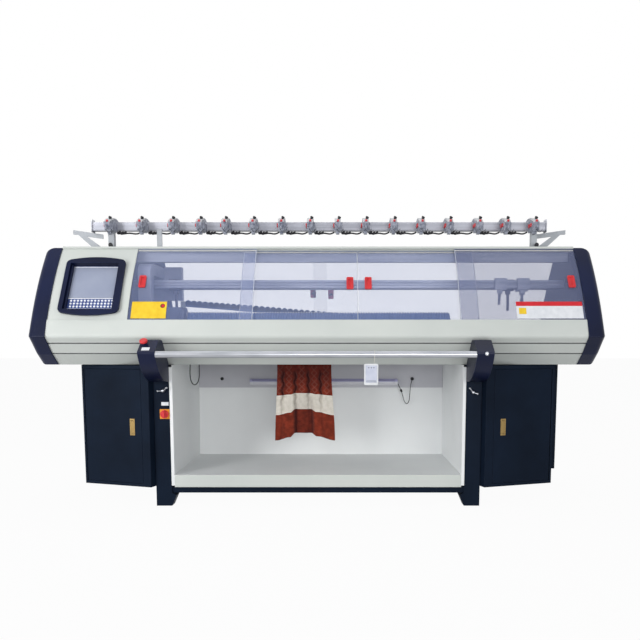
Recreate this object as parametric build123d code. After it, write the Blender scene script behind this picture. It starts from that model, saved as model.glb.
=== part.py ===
from build123d import *
import math
import os

# Flat knitting machine, in millimetres.
# X runs along the needle beds (to the right seen from the operator), Y to the back, Z up.
# The origin is on the floor, in the middle of the machine's length and depth.

# Driving dimensions
machine_length = 2820
cap_width = 86
front_y = -471
rear_y = 471
centre_y = 62
housing_bottom = 732
cover_radius = 1711
sill = (-311, 954)
ridge = (-85, 1326)
nose = (-347, 873)
groove_1 = (-314, 840)
groove_2 = (-266, 789)
fascia_foot = (-193, housing_bottom)
fascia_wall = 14
side_plate = 14

cover_thick = 4
inner_track_depth = 14
panel_right = -932
window_left = -930
window_right = 1322
left_pair = (-385, -317)
seam_x = 205
right_pair = (706, 801)

leg_inner = 758
leg_outer = 838
leg_front = -216
leg_depth = 60
rear_leg = (380, 440)
beam_low = 55
beam_high = 98
gusset_reach = 24

cabinet_bottom = 104
cabinet_top = 728
cabinet_corner = (855, -250)
cabinet_outer = (1232, -136)
cabinet_side_back = 260
cabinet_wide = 1380
cabinet_back = 462
sheet = 2.5
door_gap = 2
door_from = 46
door_to = 378
door_low = 122
door_high = 708
door_thick = 20
door_pin = 4
lock_at = 99
lock_z = 413

bin_half = 741
bin_floor = 163
bin_back_low = 420
bin_back_high = 450
bin_panel_low = 571
bin_lip_low = 99

bed_half = 711
bed_angle = 45
bed_apex = 1009
bed_gap = 8
bed_length = 200
trick_count = 100
trick_depth = 6
bed_thick = 30
rail_offset = 187
rail_z = 858
rail_r = 12
feeder_rail_low = 1133
feeder_rail_high = 1174
feeder_rail_offsets = (-66, -22, 22, 66)
carriage_x = -901
carriage_half = 170
roller_r = 29
roller_z = 790
roller_gap = 2
journal_r = 10
running_fit = 0.05

bar_y = -453
bar_z = 788
bar_r = 16.5
bar_journal_r = 8
bracket_outer = 839.5

rack_y = 150
rack_low = 1454
rack_high = 1500
rack_half = 1243
unit_places = (-1130, -958, -789, -640, -505, -354, -201, -46, 102, 252, 403, 553, 703, 861, 1010, 1162)

pulley_x = 1230
pulley_y = 332
pulley_z = 850
pulley_r = 34

half_length = machine_length / 2
cap_inner = half_length - cap_width
frame_x = cap_inner - side_plate


# Small helpers: every solid below is placed by its corners, its ends or its outline
def block(x, y, z):
    size = [abs(b - a) for a, b in (x, y, z)]
    middle = [(a + b) / 2 for a, b in (x, y, z)]
    return Pos(*middle) * Box(*size)


def along_x(outline, x0, x1):
    face = make_face(Polyline(*[(x0, y, z) for y, z in outline], close=True))
    return extrude(face, amount=x1 - x0, dir=(1, 0, 0))


def along_y(outline, y0, y1):
    face = make_face(Polyline(*[(x, y0, z) for x, z in outline], close=True))
    return extrude(face, amount=y1 - y0, dir=(0, 1, 0))


def along_z(outline, z0, z1):
    face = make_face(Polyline(*[(x, y, z0) for x, y in outline], close=True))
    return extrude(face, amount=z1 - z0, dir=(0, 0, 1))


def rod(start, end, radius):
    axis = Vector(*end) - Vector(*start)
    return Plane(origin=start, z_dir=axis) * Cylinder(
        radius, axis.length, align=(Align.CENTER, Align.CENTER, Align.MIN))


def flip_x(shape):
    return mirror(shape, about=Plane.YZ)


def flip_y(shape):
    return mirror(shape, about=Plane.XZ.offset(-centre_y))


def group(*solids):
    return Compound(children=list(solids))


def rounded(shape, radius, axis, picker):
    edges = shape.edges().filter_by(axis).filter_by(picker)
    return fillet(edges, radius)


# The curved front of the housing: one arc from the sill up to the ridge, mirrored at the back
def find_arc_centre():
    half_chord = math.dist(sill, ridge) / 2
    middle = ((sill[0] + ridge[0]) / 2, (sill[1] + ridge[1]) / 2)
    along = ((ridge[0] - sill[0]) / (2 * half_chord), (ridge[1] - sill[1]) / (2 * half_chord))
    reach = math.sqrt(cover_radius ** 2 - half_chord ** 2)
    return middle[0] + along[1] * reach, middle[1] - along[0] * reach


arc_y, arc_z = find_arc_centre()
sill_angle = math.asin((sill[1] - arc_z) / cover_radius)
ridge_angle = math.asin((ridge[1] - arc_z) / cover_radius)


def on_arc(angle, out=0, up=0):
    # A point of the arc, moved out of the housing and up along it
    y = arc_y - (cover_radius + out) * math.cos(angle) + up * math.sin(angle)
    z = arc_z + (cover_radius + out) * math.sin(angle) + up * math.cos(angle)
    return y, z


def arc_plane(x, angle, out=0, up=0):
    # Local x is the machine's X, local y goes up the slope, local z points out of the housing
    y, z = on_arc(angle, out, up)
    return Plane(origin=(x, y, z), x_dir=(1, 0, 0), z_dir=(0, -math.cos(angle), math.sin(angle)))


def angle_at(z):
    return math.asin((z - arc_z) / cover_radius)


def curved_sheet(x0, x1, out, thick, low, high):
    # A bent sheet between two angles of the arc, its outer face at the given offset
    middle = (low + high) / 2
    outer = [(x0, *on_arc(a, out)) for a in (low, middle, high)]
    inner = [(x0, *on_arc(a, out - thick)) for a in (high, middle, low)]
    edges = [ThreePointArc(*outer), Line(outer[2], inner[0]), ThreePointArc(*inner), Line(inner[2], outer[0])]
    return extrude(make_face(edges), amount=x1 - x0, dir=(1, 0, 0))


# Housing outline in the Y-Z plane, used by the end caps and the side plates
def housing_face(x):
    front = [fascia_foot, groove_2, groove_1, nose, sill]
    back = [(2 * centre_y - y, z) for y, z in (sill, ridge)]
    back_low = [(rear_y - 6, nose[1]), (rear_y - 6, housing_bottom)]
    front_arc = ThreePointArc((x, *sill), (x, *on_arc((sill_angle + ridge_angle) / 2)), (x, *ridge))
    mid_y, mid_z = on_arc((sill_angle + ridge_angle) / 2)
    back_arc = ThreePointArc((x, *back[1]), (x, 2 * centre_y - mid_y, mid_z), (x, *back[0]))
    low = Polyline(*[(x, y, z) for y, z in [back[0]] + back_low + front])
    return make_face([front_arc, Line((x, *ridge), (x, *back[1])), back_arc, low])


def make_end_cap():
    # A moulded cover, open towards the side plate that it closes
    wall = 6
    face = offset(housing_face(cap_inner), amount=wall, kind=Kind.ARC)
    cap = extrude(face, amount=cap_width, dir=(1, 0, 0))
    under = block((cap_inner - 5, half_length + 5), (front_y - 50, rear_y + 50), (600, housing_bottom))
    cap -= under
    outer_edges = cap.faces().sort_by(Axis.X)[-1].edges()
    top_edges = outer_edges.filter_by(lambda e: e.center().Z > housing_bottom + 1)
    cap = fillet(top_edges, 28)
    limits = block((cap_inner, half_length), (front_y - 60, rear_y + 60), (housing_bottom, ridge[1] + wall))
    outer_limits = limits.edges().filter_by(Axis.Y).filter_by(lambda e: e.center().X > cap_inner + 1)
    limits = fillet(outer_limits.sort_by(Axis.Z)[-1], 54)
    low_limit = limits.edges().filter_by(Axis.Y).filter_by(
        lambda e: e.center().X > half_length - 1 and e.center().Z < housing_bottom + 1)
    cap = cap & fillet(low_limit, 26)
    hollow = extrude(offset(housing_face(cap_inner), amount=-wall, kind=Kind.INTERSECTION),
                     amount=cap_width - 4 * wall, dir=(1, 0, 0))
    return cap - hollow


# Sliding-cover tracks: a channel with one slot for each cover, in the arc's own directions
def track_section(angle, flip):
    lip = 3
    slot = cover_thick + 3
    outer_slot = (-slot + 1.5, 1.5)
    inner_slot = (outer_slot[0] - inner_track_depth, outer_slot[1] - inner_track_depth)
    out, back = outer_slot[1] + lip, inner_slot[0] - lip
    tip, deep, base = 0, -8, -14
    outline = [(out, tip), (out, base), (back, base), (back, tip), (inner_slot[0], tip),
               (inner_slot[0], deep), (inner_slot[1], deep), (inner_slot[1], tip),
               (outer_slot[0], tip), (outer_slot[0], deep), (outer_slot[1], deep), (outer_slot[1], tip)]
    return [on_arc(angle, n, t * flip) for n, t in outline]


def make_front_fascia():
    # Extruded front panel: sill track, upright band, nose and two grooved bands below it
    top_out = on_arc(sill_angle, 4.5, -14)
    top_in = on_arc(sill_angle, -15.5, -14)
    outline = [top_out, nose, groove_1, groove_2, fascia_foot,
               (fascia_foot[0] + fascia_wall, fascia_foot[1] + fascia_wall),
               (groove_2[0] + fascia_wall, groove_2[1] + fascia_wall),
               (groove_1[0] + fascia_wall, groove_1[1] + fascia_wall),
               (nose[0] + fascia_wall + 3, nose[1] + 3), top_in]
    panel = along_x(outline, -cap_inner, cap_inner)
    nose_edge = panel.edges().filter_by(Axis.X).sort_by(lambda e: (e.center().Y))[0]
    panel = fillet(nose_edge, 20)
    for y, z in (groove_1, groove_2):
        panel -= rod((-cap_inner - 1, y, z), (cap_inner + 1, y, z), 4)
    return panel + along_x(track_section(sill_angle, 1), -cap_inner, cap_inner)


def make_housing_shell():
    # Top deck with the upper tracks, rear panel with its track, floor pans and the chain tray
    deck_y = on_arc(ridge_angle, -8, 12)[0]
    front_track = along_x(track_section(ridge_angle, -1), -cap_inner, cap_inner)
    rear_track = flip_y(front_track)
    deck = block((-cap_inner, cap_inner), (deck_y, 2 * centre_y - deck_y), (1327, 1333))
    top = front_track + rear_track + deck
    sill_track = flip_y(along_x(track_section(sill_angle, 1), -cap_inner, cap_inner))
    low_out, high_out = on_arc(sill_angle, 4.5, -14)
    low_in, high_in = on_arc(sill_angle, -22.5, -14)
    wall = 4
    shoulder = [(2 * centre_y - low_out, high_out), (rear_y, nose[1]), (rear_y - wall, nose[1]),
                (2 * centre_y - low_in, high_in)]
    slope_panel = along_x(shoulder, -cap_inner, cap_inner)
    rear_panel = block((-cap_inner, cap_inner), (rear_y - wall, rear_y), (housing_bottom, nose[1]))
    slot = 32
    pan_top = housing_bottom + 3
    front_pan = block((-cap_inner, cap_inner), (fascia_foot[0] + 6, centre_y - slot), (housing_bottom, pan_top))
    rear_pan = block((-cap_inner, cap_inner), (centre_y + slot, rear_y - wall), (housing_bottom, pan_top))
    tray = block((-1000, 700), (300, 430), (936, 940))
    stop = block((-812, -786), (306, 336), (940, 1082))
    chain_stop = tray + stop
    return group(top, sill_track, slope_panel, rear_panel, front_pan, rear_pan, chain_stop)


# Base frame: legs, cross beams, side rails, bed beams with their carriers, and bearing plates
def make_base_frame():
    leg = [(leg_inner, 0), (leg_outer, 0), (leg_outer, housing_bottom), (leg_inner, housing_bottom),
           (leg_inner, beam_low + 12), (leg_inner - gusset_reach, beam_low), (leg_inner, 0)][:-1]
    front_leg = along_y(leg, leg_front, leg_front + leg_depth)
    rear_leg_solid = block((leg_inner, leg_outer), rear_leg, (0, housing_bottom))
    side_rail = block((leg_inner + 10, leg_outer - 10), (leg_front + leg_depth, rear_leg[0]), (beam_low, 105))
    front_beam = block((-leg_inner, leg_inner), (leg_front + 10, leg_front + 50), (beam_low + 12, beam_high))
    rear_beam = block((-leg_inner, leg_inner), (rear_leg[0] + 10, rear_leg[0] + 50), (beam_low + 12, beam_high))
    beam_bottom = housing_bottom + 3
    bed_beam = block((-frame_x, frame_x), (-150, -45), (beam_bottom, 830))
    carrier_line = [bed_point(60, -bed_thick), bed_point(190, -bed_thick)]
    carrier = along_x([carrier_line[0], carrier_line[1], (carrier_line[1][0], 830), (-46, 830),
                       (carrier_line[0][0], carrier_line[0][1] - 40)], -bed_half, bed_half)
    bearing = block((leg_inner - 24, leg_inner - 10), (-45, 2 * centre_y + 45), (744, 829))
    for y in (centre_y - roller_r - roller_gap, centre_y + roller_r + roller_gap):
        bearing -= rod((leg_inner - 30, y, roller_z), (leg_inner, y, roller_z), journal_r + running_fit)
    face = offset(housing_face(frame_x), amount=-30, kind=Kind.INTERSECTION)
    side = extrude(face, amount=side_plate, dir=(1, 0, 0))
    pulley_plate = block((pulley_x - 42, pulley_x + 42), (pulley_y + 18, pulley_y + 30), (beam_bottom, 905))
    pulley_plate -= rod((pulley_x, 300, pulley_z), (pulley_x, 400, pulley_z), 8 + running_fit)
    one_side = [front_leg, rear_leg_solid, side_rail, bearing, side, pulley_plate]
    return group(*one_side, *[flip_x(s) for s in one_side], front_beam, rear_beam,
                 bed_beam, flip_y(bed_beam), carrier, flip_y(carrier))


# Needle beds: two grooved plates that lean against each other like a roof
def bed_point(down, proud):
    # A point of the front bed's section: down the slope from its top edge, and out of its face
    turn = math.radians(bed_angle)
    y = centre_y - bed_gap - down * math.cos(turn) - proud * math.sin(turn)
    z = bed_apex - down * math.sin(turn) + proud * math.cos(turn)
    return y, z


def make_front_bed():
    pitch = 2 * bed_half / trick_count
    comb = []
    for i in range(trick_count):
        left = -bed_half + i * pitch
        for x, proud in ((left, 0), (left + pitch / 2, 0), (left + pitch / 2, -trick_depth), (left + pitch, -trick_depth)):
            comb.append((x, *bed_point(0, proud)))
    comb.append((bed_half, *bed_point(0, -trick_depth - 4)))
    comb.append((-bed_half, *bed_point(0, -trick_depth - 4)))
    face = make_face(Polyline(*comb, close=True))
    start, end = Vector(0, *bed_point(0, 0)), Vector(0, *bed_point(bed_length, 0))
    tricks = extrude(face, amount=bed_length, dir=end - start)
    body = along_x([bed_point(24, -trick_depth - 3), bed_point(bed_length, -trick_depth - 3),
                    bed_point(bed_length, -bed_thick), bed_point(24, -bed_thick)], -bed_half, bed_half)
    needle_gap = block((-bed_half - 1, bed_half + 1), (centre_y - 6.5, centre_y + 60), (900, 1100))
    return tricks + body - needle_gap


def make_carriage_rails():
    # Supported round rails, one along each bed beam
    y = centre_y - rail_offset
    foot = [(y - 16, 830), (y + 16, 830), (y + 16, 836), (y + 4, 840), (y + 4, rail_z), (y - 4, rail_z),
            (y - 4, 840), (y - 16, 836)]
    rail = along_x(foot, -frame_x, frame_x) + rod((-frame_x, y, rail_z), (frame_x, y, rail_z), rail_r)
    return group(rail, flip_y(rail))


def make_feeder_rails():
    # Four guide bars for the yarn feeders, with feeders parked at the right on the outer two
    bars = []
    for shift in feeder_rail_offsets:
        y = centre_y + shift
        bar = [(y - 6, feeder_rail_low), (y + 6, feeder_rail_low), (y + 6, 1146), (y + 3, 1149), (y + 3, 1158),
               (y + 6, 1161), (y + 6, feeder_rail_high), (y - 6, feeder_rail_high), (y - 6, 1161),
               (y - 3, 1158), (y - 3, 1149), (y - 6, 1146)]
        bars.append(along_x(bar, -frame_x, frame_x))
    parked = [make_feeder(970, feeder_rail_offsets[0], True), make_feeder(1090, feeder_rail_offsets[0], True),
              make_feeder(1120, feeder_rail_offsets[3], True)]
    return group(*bars, *parked)


def make_feeder(x, shift, parked=False):
    # A slider on its guide bar, with an arm that brings the yarn down to the needle gap
    y = centre_y + shift
    side = 1 if shift < 0 else -1
    gap = 0.3
    head = block((x - 32, x + 32), (y - 15, y + 15), (1124, 1184))
    head -= block((x - 33, x + 33), (y - 6 - gap, y + 6 + gap), (1120, feeder_rail_high + gap))
    foot = block((x - 14, x + 14), (y + side * 15, y + side * (6 + gap)), (1104, 1124))
    near = y + side * 6.5
    end_z = 1046 if parked else 1016
    tip = near + side * 14 if parked else centre_y - side * 3
    arm = [(near, 1110), (near + side * 8, 1110), (tip + side * 1.2, end_z + 18), (tip + side * 1.2, end_z),
           (tip - side * 1.8, end_z), (tip - side * 1.8, end_z + 20)]
    strip = along_x(arm, x - 7, x + 7)
    return head + foot + strip


# Carriage: two cam boxes that run on the rails, joined by a bridge over the feeder rails
def make_cam_boxes():
    y = centre_y - rail_offset
    outline = [bed_point(14, 3), bed_point(14, 48), bed_point(178, 48), (y - 22, 880), (y - 22, 850), (y + 22, 850),
               (y + 22, 878), bed_point(178, 3)]
    left, right = carriage_x - carriage_half, carriage_x + carriage_half
    box = along_x(outline, left, right)
    box -= rod((left - 1, y, rail_z), (right + 1, y, rail_z), rail_r + running_fit)
    box -= block((left - 1, right + 1), (y - 9.5, y + 9.5), (840, 852))
    lid = along_x([bed_point(30, 47.9), bed_point(30, 54), bed_point(150, 54), bed_point(150, 47.9)],
                  left + 95, carriage_x - 45)
    other_lid = along_x([bed_point(30, 47.9), bed_point(30, 54), bed_point(150, 54), bed_point(150, 47.9)],
                        carriage_x + 45, right - 10)
    front = box + lid + other_lid
    rear = flip_y(box) + flip_y(lid) + flip_y(other_lid)
    belt_y = 2 * centre_y - y + 22
    clamp = block((carriage_x - 30, carriage_x + 30), (belt_y - 6, belt_y), (870, 899))
    clamp += block((carriage_x - 30, carriage_x + 30), (belt_y - 6, pulley_y + 10), (893, 899))
    return group(front, rear + clamp)


def make_carriage_bridge():
    # An arch with rounded shoulders, and the electronics box that it carries behind
    half_out, half_in, top, inner_top = 167, 110, 1256, 1196
    foot_out = bed_point(14 + 0, 48)
    slope = foot_out[0] + foot_out[1]
    sections = []
    for half, height in ((half_out, top), (half_in, inner_top)):
        y = centre_y - half
        sections.append((y, height))
    outer = along_x([(sections[0][0], 900), (sections[0][0], top), (2 * centre_y - sections[0][0], top),
                     (2 * centre_y - sections[0][0], 900)], carriage_x - 33, carriage_x + 33)
    outer = fillet(outer.edges().filter_by(Axis.X).sort_by(Axis.Z)[-2:], 66)
    inner = along_x([(sections[1][0], 800), (sections[1][0], inner_top), (2 * centre_y - sections[1][0], inner_top),
                     (2 * centre_y - sections[1][0], 800)], carriage_x - 40, carriage_x + 40)
    inner = fillet(inner.edges().filter_by(Axis.X).sort_by(Axis.Z)[-2:], 24)
    under = along_x([(foot_out[0] + 400, slope - foot_out[0] - 400 + 800), (foot_out[0] - 300, foot_out[1] - 300),
                     (foot_out[0] - 300, 600), (foot_out[0] + 400, 600)], carriage_x - 40, carriage_x + 40)
    arch = outer - inner
    cut = along_x([bed_point(-120, 48), bed_point(320, 48), (bed_point(320, 48)[0], 500), (centre_y + 100, 500)],
                  carriage_x - 40, carriage_x + 40)
    arch = arch - cut - flip_y(cut)
    box = block((carriage_x + 33, carriage_x + 130), (176, 216), (1078, 1262))
    return arch + box


def make_roller(side):
    y = centre_y + side * (roller_r + roller_gap)
    body = rod((-722, y, roller_z), (722, y, roller_z), roller_r)
    for i in range(1, 12):
        x = -722 + i * 1444 / 12
        ring = rod((x - 4, y, roller_z), (x + 4, y, roller_z), roller_r + 1)
        ring -= rod((x - 5, y, roller_z), (x + 5, y, roller_z), roller_r - 4)
        body -= ring
    shaft_end = leg_inner - 11
    return body + rod((-shaft_end, y, roller_z), (shaft_end, y, roller_z), journal_r)


def make_pulley(x):
    teeth = 30
    outline = []
    for i in range(2 * teeth):
        turn = math.pi * i / teeth
        radius = pulley_r if i % 2 else pulley_r - 3
        outline.append((x + radius * math.cos(turn), pulley_z + radius * math.sin(turn)))
    rim = along_y(outline, pulley_y - 12, pulley_y + 12)
    flanges = rod((x, pulley_y - 15, pulley_z), (x, pulley_y - 12, pulley_z), pulley_r + 4)
    flanges += rod((x, pulley_y + 12, pulley_z), (x, pulley_y + 15, pulley_z), pulley_r + 4)
    return rim + flanges + rod((x, pulley_y - 17, pulley_z), (x, pulley_y + 30, pulley_z), 8)


def make_drive_belt():
    # Two straight runs and, round each pulley, an arc in short lengths
    inner, outer = pulley_r + 0.8, pulley_r + 3.8
    y = pulley_y - 11
    solids = []
    for low, high in ((inner, outer), (-outer, -inner)):
        solids.append(block((-pulley_x, pulley_x), (y, y + 22), (pulley_z + low, pulley_z + high)))
    lengths = 12
    for side in (-1, 1):
        for i in range(lengths):
            corners = []
            for radius, share in ((outer, i), (outer, i + 1), (inner, i + 1), (inner, i)):
                turn = math.pi * (share / lengths - 0.5)
                corners.append((side * (pulley_x + radius * math.cos(turn)), pulley_z + radius * math.sin(turn)))
            solids.append(along_y(corners, y, y + 22))
    return group(*solids)


def make_cable_chain():
    # A plastic energy chain that sags from its stop down to the tray: one scallop for each link
    links, pitch, height, start = 40, 33, 34, -784
    top, low = [], []
    for i in range(links + 1):
        run = i * pitch
        z = max(940, 1051 - 0.0755 * run - 0.000008 * run ** 2)
        low.append((start + run, z))
        top.append((start + run, z + height - 8))
        if i < links:
            top.append((start + run + pitch * 0.22, z + height))
            top.append((start + run + pitch * 0.72, z + height - 1))
    return along_y(low + top[::-1], 307, 335)


# Covers and their finger pulls
def make_cover(x0, x1, depth):
    edge = 6 / cover_radius
    return curved_sheet(x0, x1, -depth, cover_thick, sill_angle - edge, ridge_angle + edge)


def make_pull(x, depth, wide=35, high=72, z=1147):
    angle = angle_at(z)
    plane = arc_plane(x, angle, -depth)
    frame = extrude(plane * RectangleRounded(wide, high, 7), amount=7)
    finger_well = extrude(plane.offset(2) * RectangleRounded(17, high - 18, 5), amount=8)
    return frame - finger_well


# Control panel at the left of the covers
panel_angle = angle_at(1122)
panel_x = -1124
bezel_back = -26
well_shift = -7


def make_control_plate():
    edge = 6 / cover_radius
    plate = curved_sheet(-cap_inner, panel_right, 0, 4, sill_angle - edge, ridge_angle + edge)
    opening = extrude(arc_plane(panel_x, panel_angle, -40) * (Pos(well_shift, 0) * RectangleRounded(262, 294, 10)),
                      amount=80)
    return plate - opening


def make_screen_bezel():
    plane = arc_plane(panel_x, panel_angle)
    wide, high, crown = 150, 156, 172
    corner = 24
    side_low, side_high = -high + corner, high - corner
    outline = [Line((-wide, side_high), (-wide, side_low)),
               ThreePointArc((-wide, side_low), (-wide + 7, -high + 6), (-wide + corner, -high - 3)),
               ThreePointArc((-wide + corner, -high - 3), (0, -crown), (wide - corner, -high - 3)),
               ThreePointArc((wide - corner, -high - 3), (wide - 7, -high + 6), (wide, side_low)),
               Line((wide, side_low), (wide, side_high)),
               ThreePointArc((wide, side_high), (wide - 7, high - 6), (wide - corner, high + 3)),
               ThreePointArc((wide - corner, high + 3), (0, crown), (-wide + corner, high + 3)),
               ThreePointArc((-wide + corner, high + 3), (-wide + 7, high - 6), (-wide, side_high))]
    rim = extrude(plane.offset(3) * make_face(outline), amount=10)
    spot = Pos(well_shift, 0)
    neck = extrude(plane.offset(bezel_back) * (spot * RectangleRounded(260, 292, 9)), amount=3 - bezel_back)
    well = extrude(plane.offset(bezel_back + 4) * (spot * Rectangle(244, 276)), amount=60)
    return rim + neck - well


def make_keypad():
    # Front overlay: a frame round the screen and three rows of keys below it
    plane = arc_plane(panel_x, panel_angle, bezel_back + 4)
    overlay = extrude(plane * (Pos(well_shift, 0) * Rectangle(243, 275)), amount=4)
    overlay -= extrude(plane.offset(1) * (Pos(well_shift, 36) * Rectangle(229, 184)), amount=5)
    keys = []
    for row in range(3):
        for column in range(13):
            spot = Pos(well_shift - 108 + column * 18, -81 - row * 20.5)
            keys.append(extrude(plane.offset(4) * (spot * RegularPolygon(6, 8)), amount=2.5))
    return group(overlay, *keys)


def make_screen():
    plane = arc_plane(panel_x, panel_angle, bezel_back + 5)
    return extrude(plane * (Pos(well_shift, 36) * Rectangle(228, 183)), amount=4)


# Start bar across the front, in two chin-shaped brackets
def bracket_body():
    outline = [(-326, 857), (-392, 857), (front_y, 801), (front_y, 790)]
    lower = ThreePointArc((leg_inner, front_y, 790), (leg_inner, -386, 693), (leg_inner, leg_front, 648))
    upper = Polyline(*[(leg_inner, y, z) for y, z in [(leg_front, 648), (leg_front, 740)] + outline])
    body = extrude(make_face([lower, upper]), amount=bracket_outer - leg_inner, dir=(1, 0, 0))
    behind = [nose, groove_1, groove_2, fascia_foot, (0, housing_bottom), (0, 1000), (nose[0], 1000)]
    body -= along_x(behind, leg_inner - 1, bracket_outer + 1)
    body -= rod((leg_inner - 1, nose[0] + 20, nose[1]), (bracket_outer + 1, nose[0] + 20, nose[1]), 20.2)
    body -= block((leg_inner - 1, bracket_outer + 1), (leg_front, 200), (600, housing_bottom))
    return body - rod((leg_inner - 1, bar_y, bar_z), (leg_inner + 22, bar_y, bar_z), bar_journal_r + running_fit)


stop_x = -820
slope_run = (front_y + 392, 801 - 857)
slope_length = math.hypot(*slope_run)
stop_out = (slope_run[1] / slope_length, -slope_run[0] / slope_length)
stop_at = (-392 + slope_run[0] * 0.32, 857 + slope_run[1] * 0.32)


def stop_point(out):
    return stop_x, stop_at[0] + stop_out[0] * out, stop_at[1] + stop_out[1] * out


def make_left_bracket():
    body = flip_x(bracket_body())
    collar = rod(stop_point(-0.5), stop_point(5), 15)
    return body + collar - rod(stop_point(-22), stop_point(6), 7 + running_fit)


def make_stop_button():
    stem = rod(stop_point(-14), stop_point(12), 7)
    head = rod(stop_point(11.5), stop_point(22), 19)
    rim = head.edges().sort_by(lambda e: -(Vector(*stop_point(22)) - e.center()).length)[-1]
    return stem + fillet(rim, 5)


def make_start_bar():
    bar = rod((-leg_inner + 0.5, bar_y, bar_z), (leg_inner - 0.5, bar_y, bar_z), bar_r)
    return bar + rod((-leg_inner - 20, bar_y, bar_z), (leg_inner + 20, bar_y, bar_z), bar_journal_r)


# Main switch on the left leg
switch_x, switch_z = -783, 480


def make_switch_plate():
    plate = block((switch_x - 25, switch_x + 25), (leg_front - 4, leg_front), (switch_z - 25, switch_z + 25))
    return plate - rod((switch_x, leg_front - 6, switch_z), (switch_x, leg_front, switch_z), 5 + running_fit)


def make_switch_knob():
    face = leg_front - 4.4
    dial = rod((switch_x, face, switch_z), (switch_x, face - 10, switch_z), 21)
    grip = block((switch_x - 5, switch_x + 5), (face - 24, face - 9), (switch_z - 19, switch_z + 19))
    return dial + grip + rod((switch_x, face, switch_z), (switch_x, leg_front - 0.5, switch_z), 5)


# Side cabinets with a door on their slanted front
def front_plane(side):
    # Local x runs along the slanted front away from the leg, local y up, local z out of the cabinet
    dx, dy = cabinet_outer[0] - cabinet_corner[0], cabinet_outer[1] - cabinet_corner[1]
    return Plane(origin=(cabinet_corner[0], cabinet_corner[1], 0), x_dir=(dx, dy, 0), z_dir=(dy, -dx, 0))


slant = front_plane(1)


def slant_block(along, up, out):
    size = [abs(b - a) for a, b in (along, up, out)]
    middle = [(a + b) / 2 for a, b in (along, up, out)]
    return slant * (Pos(*middle) * Box(*size))


def slant_rod(start, end, radius):
    a = slant.from_local_coords(Vector(*start))
    b = slant.from_local_coords(Vector(*end))
    return rod(tuple(a), tuple(b), radius)


pin_along, pin_out = door_to - 8, -9


def make_cabinet():
    # Sheet panels welded at their edges, with an opening in the slanted front for the door
    plan = [(leg_outer + 2, leg_front + 4), cabinet_corner, cabinet_outer, (cabinet_outer[0], cabinet_side_back),
            (cabinet_wide, cabinet_side_back), (cabinet_wide, cabinet_back), (leg_outer + 2, cabinet_back)]
    inset = offset(make_face(Polyline(*[(x, y, 0) for x, y in plan], close=True)),
                   amount=-sheet, kind=Kind.INTERSECTION)
    inner = [min(inset.vertices(), key=lambda v: math.hypot(v.X - x, v.Y - y)) for x, y in plan]
    inner = [(v.X, v.Y) for v in inner]
    panels = []
    for i in range(len(plan)):
        j = (i + 1) % len(plan)
        wall = along_z([plan[i], plan[j], inner[j], inner[i]], cabinet_bottom, cabinet_top)
        if plan[i] != cabinet_corner:
            panels.append(wall)
            continue
        for along, up in (((-40, door_from - door_gap), (0, 900)), ((door_to + 5, 440), (0, 900)),
                          ((door_from - door_gap, door_to + 5), (door_high + door_gap, 900)),
                          ((door_from - door_gap, door_to + 5), (0, door_low - door_gap))):
            panels.append(wall & slant_block(along, up, (-30, 30)))
    step = (cabinet_outer[0] - sheet, cabinet_back - sheet)
    ledge = [inner[3], inner[4], inner[5], step]
    for low in (cabinet_bottom, cabinet_top - sheet):
        panels.append(along_z([inner[0], inner[1], inner[2], step, inner[6]], low, low + sheet))
        panels.append(along_z(ledge, low, low + sheet))
    for low, high, pin in ((door_high + door_gap, door_high + 14, (door_high - 6, door_high + 4)),
                           (door_low - 10, door_low - door_gap, (door_low - 4, door_low + 6))):
        tab = slant_block((pin_along - 16, pin_along + 12), (low, high), (-22, -sheet))
        panels.append(tab + slant_rod((pin_along, pin[0], pin_out), (pin_along, pin[1], pin_out), door_pin))
    return group(*panels)


def make_door():
    # A folded tray: one skin with returns on four sides, pin holes and a window for the lock
    tray = slant_block((door_from, door_to), (door_low, door_high), (-door_thick, 0))
    tray -= slant_block((door_from + 2, door_to - 2), (door_low + 2, door_high - 2), (-door_thick - 1, -2))
    for low, high in ((door_high - 8, door_high + 1), (door_low - 1, door_low + 8)):
        tray -= slant_rod((pin_along, low, pin_out), (pin_along, high, pin_out), door_pin + running_fit)
    frame = slant_block((lock_at - 14, lock_at + 14), (lock_z - 43, lock_z + 43), (-12, 2))
    tray -= slant_block((lock_at - 12, lock_at + 12), (lock_z - 41, lock_z + 41), (-30, 3))
    frame = frame - slant_block((lock_at - 9, lock_at + 9), (lock_z - 34, lock_z + 34), (-10, 3))
    frame -= slant_rod((lock_at - 11.5, lock_z + 28, -4), (lock_at + 11.5, lock_z + 28, -4), 2 + running_fit)
    return tray + frame


def make_door_lock():
    # The paddle of the flush lock, hung on its own pin at the top
    paddle = slant_block((lock_at - 8.5, lock_at + 8.5), (lock_z - 33, lock_z + 31), (-7, 1))
    return paddle + slant_rod((lock_at - 11, lock_z + 28, -4), (lock_at + 11, lock_z + 28, -4), 2)


def make_power_module():
    # Drive electronics in each cabinet: a case with cooling ribs on top
    x, y, low = (920, 1140), (40, 200), cabinet_bottom + sheet
    case = block(x, y, (low, low + 330))
    for i in range(8):
        case += block((x[0] + 14 + i * 26, x[0] + 22 + i * 26), (y[0] + 10, y[1] - 10), (low + 329, low + 350))
    return case


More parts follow.
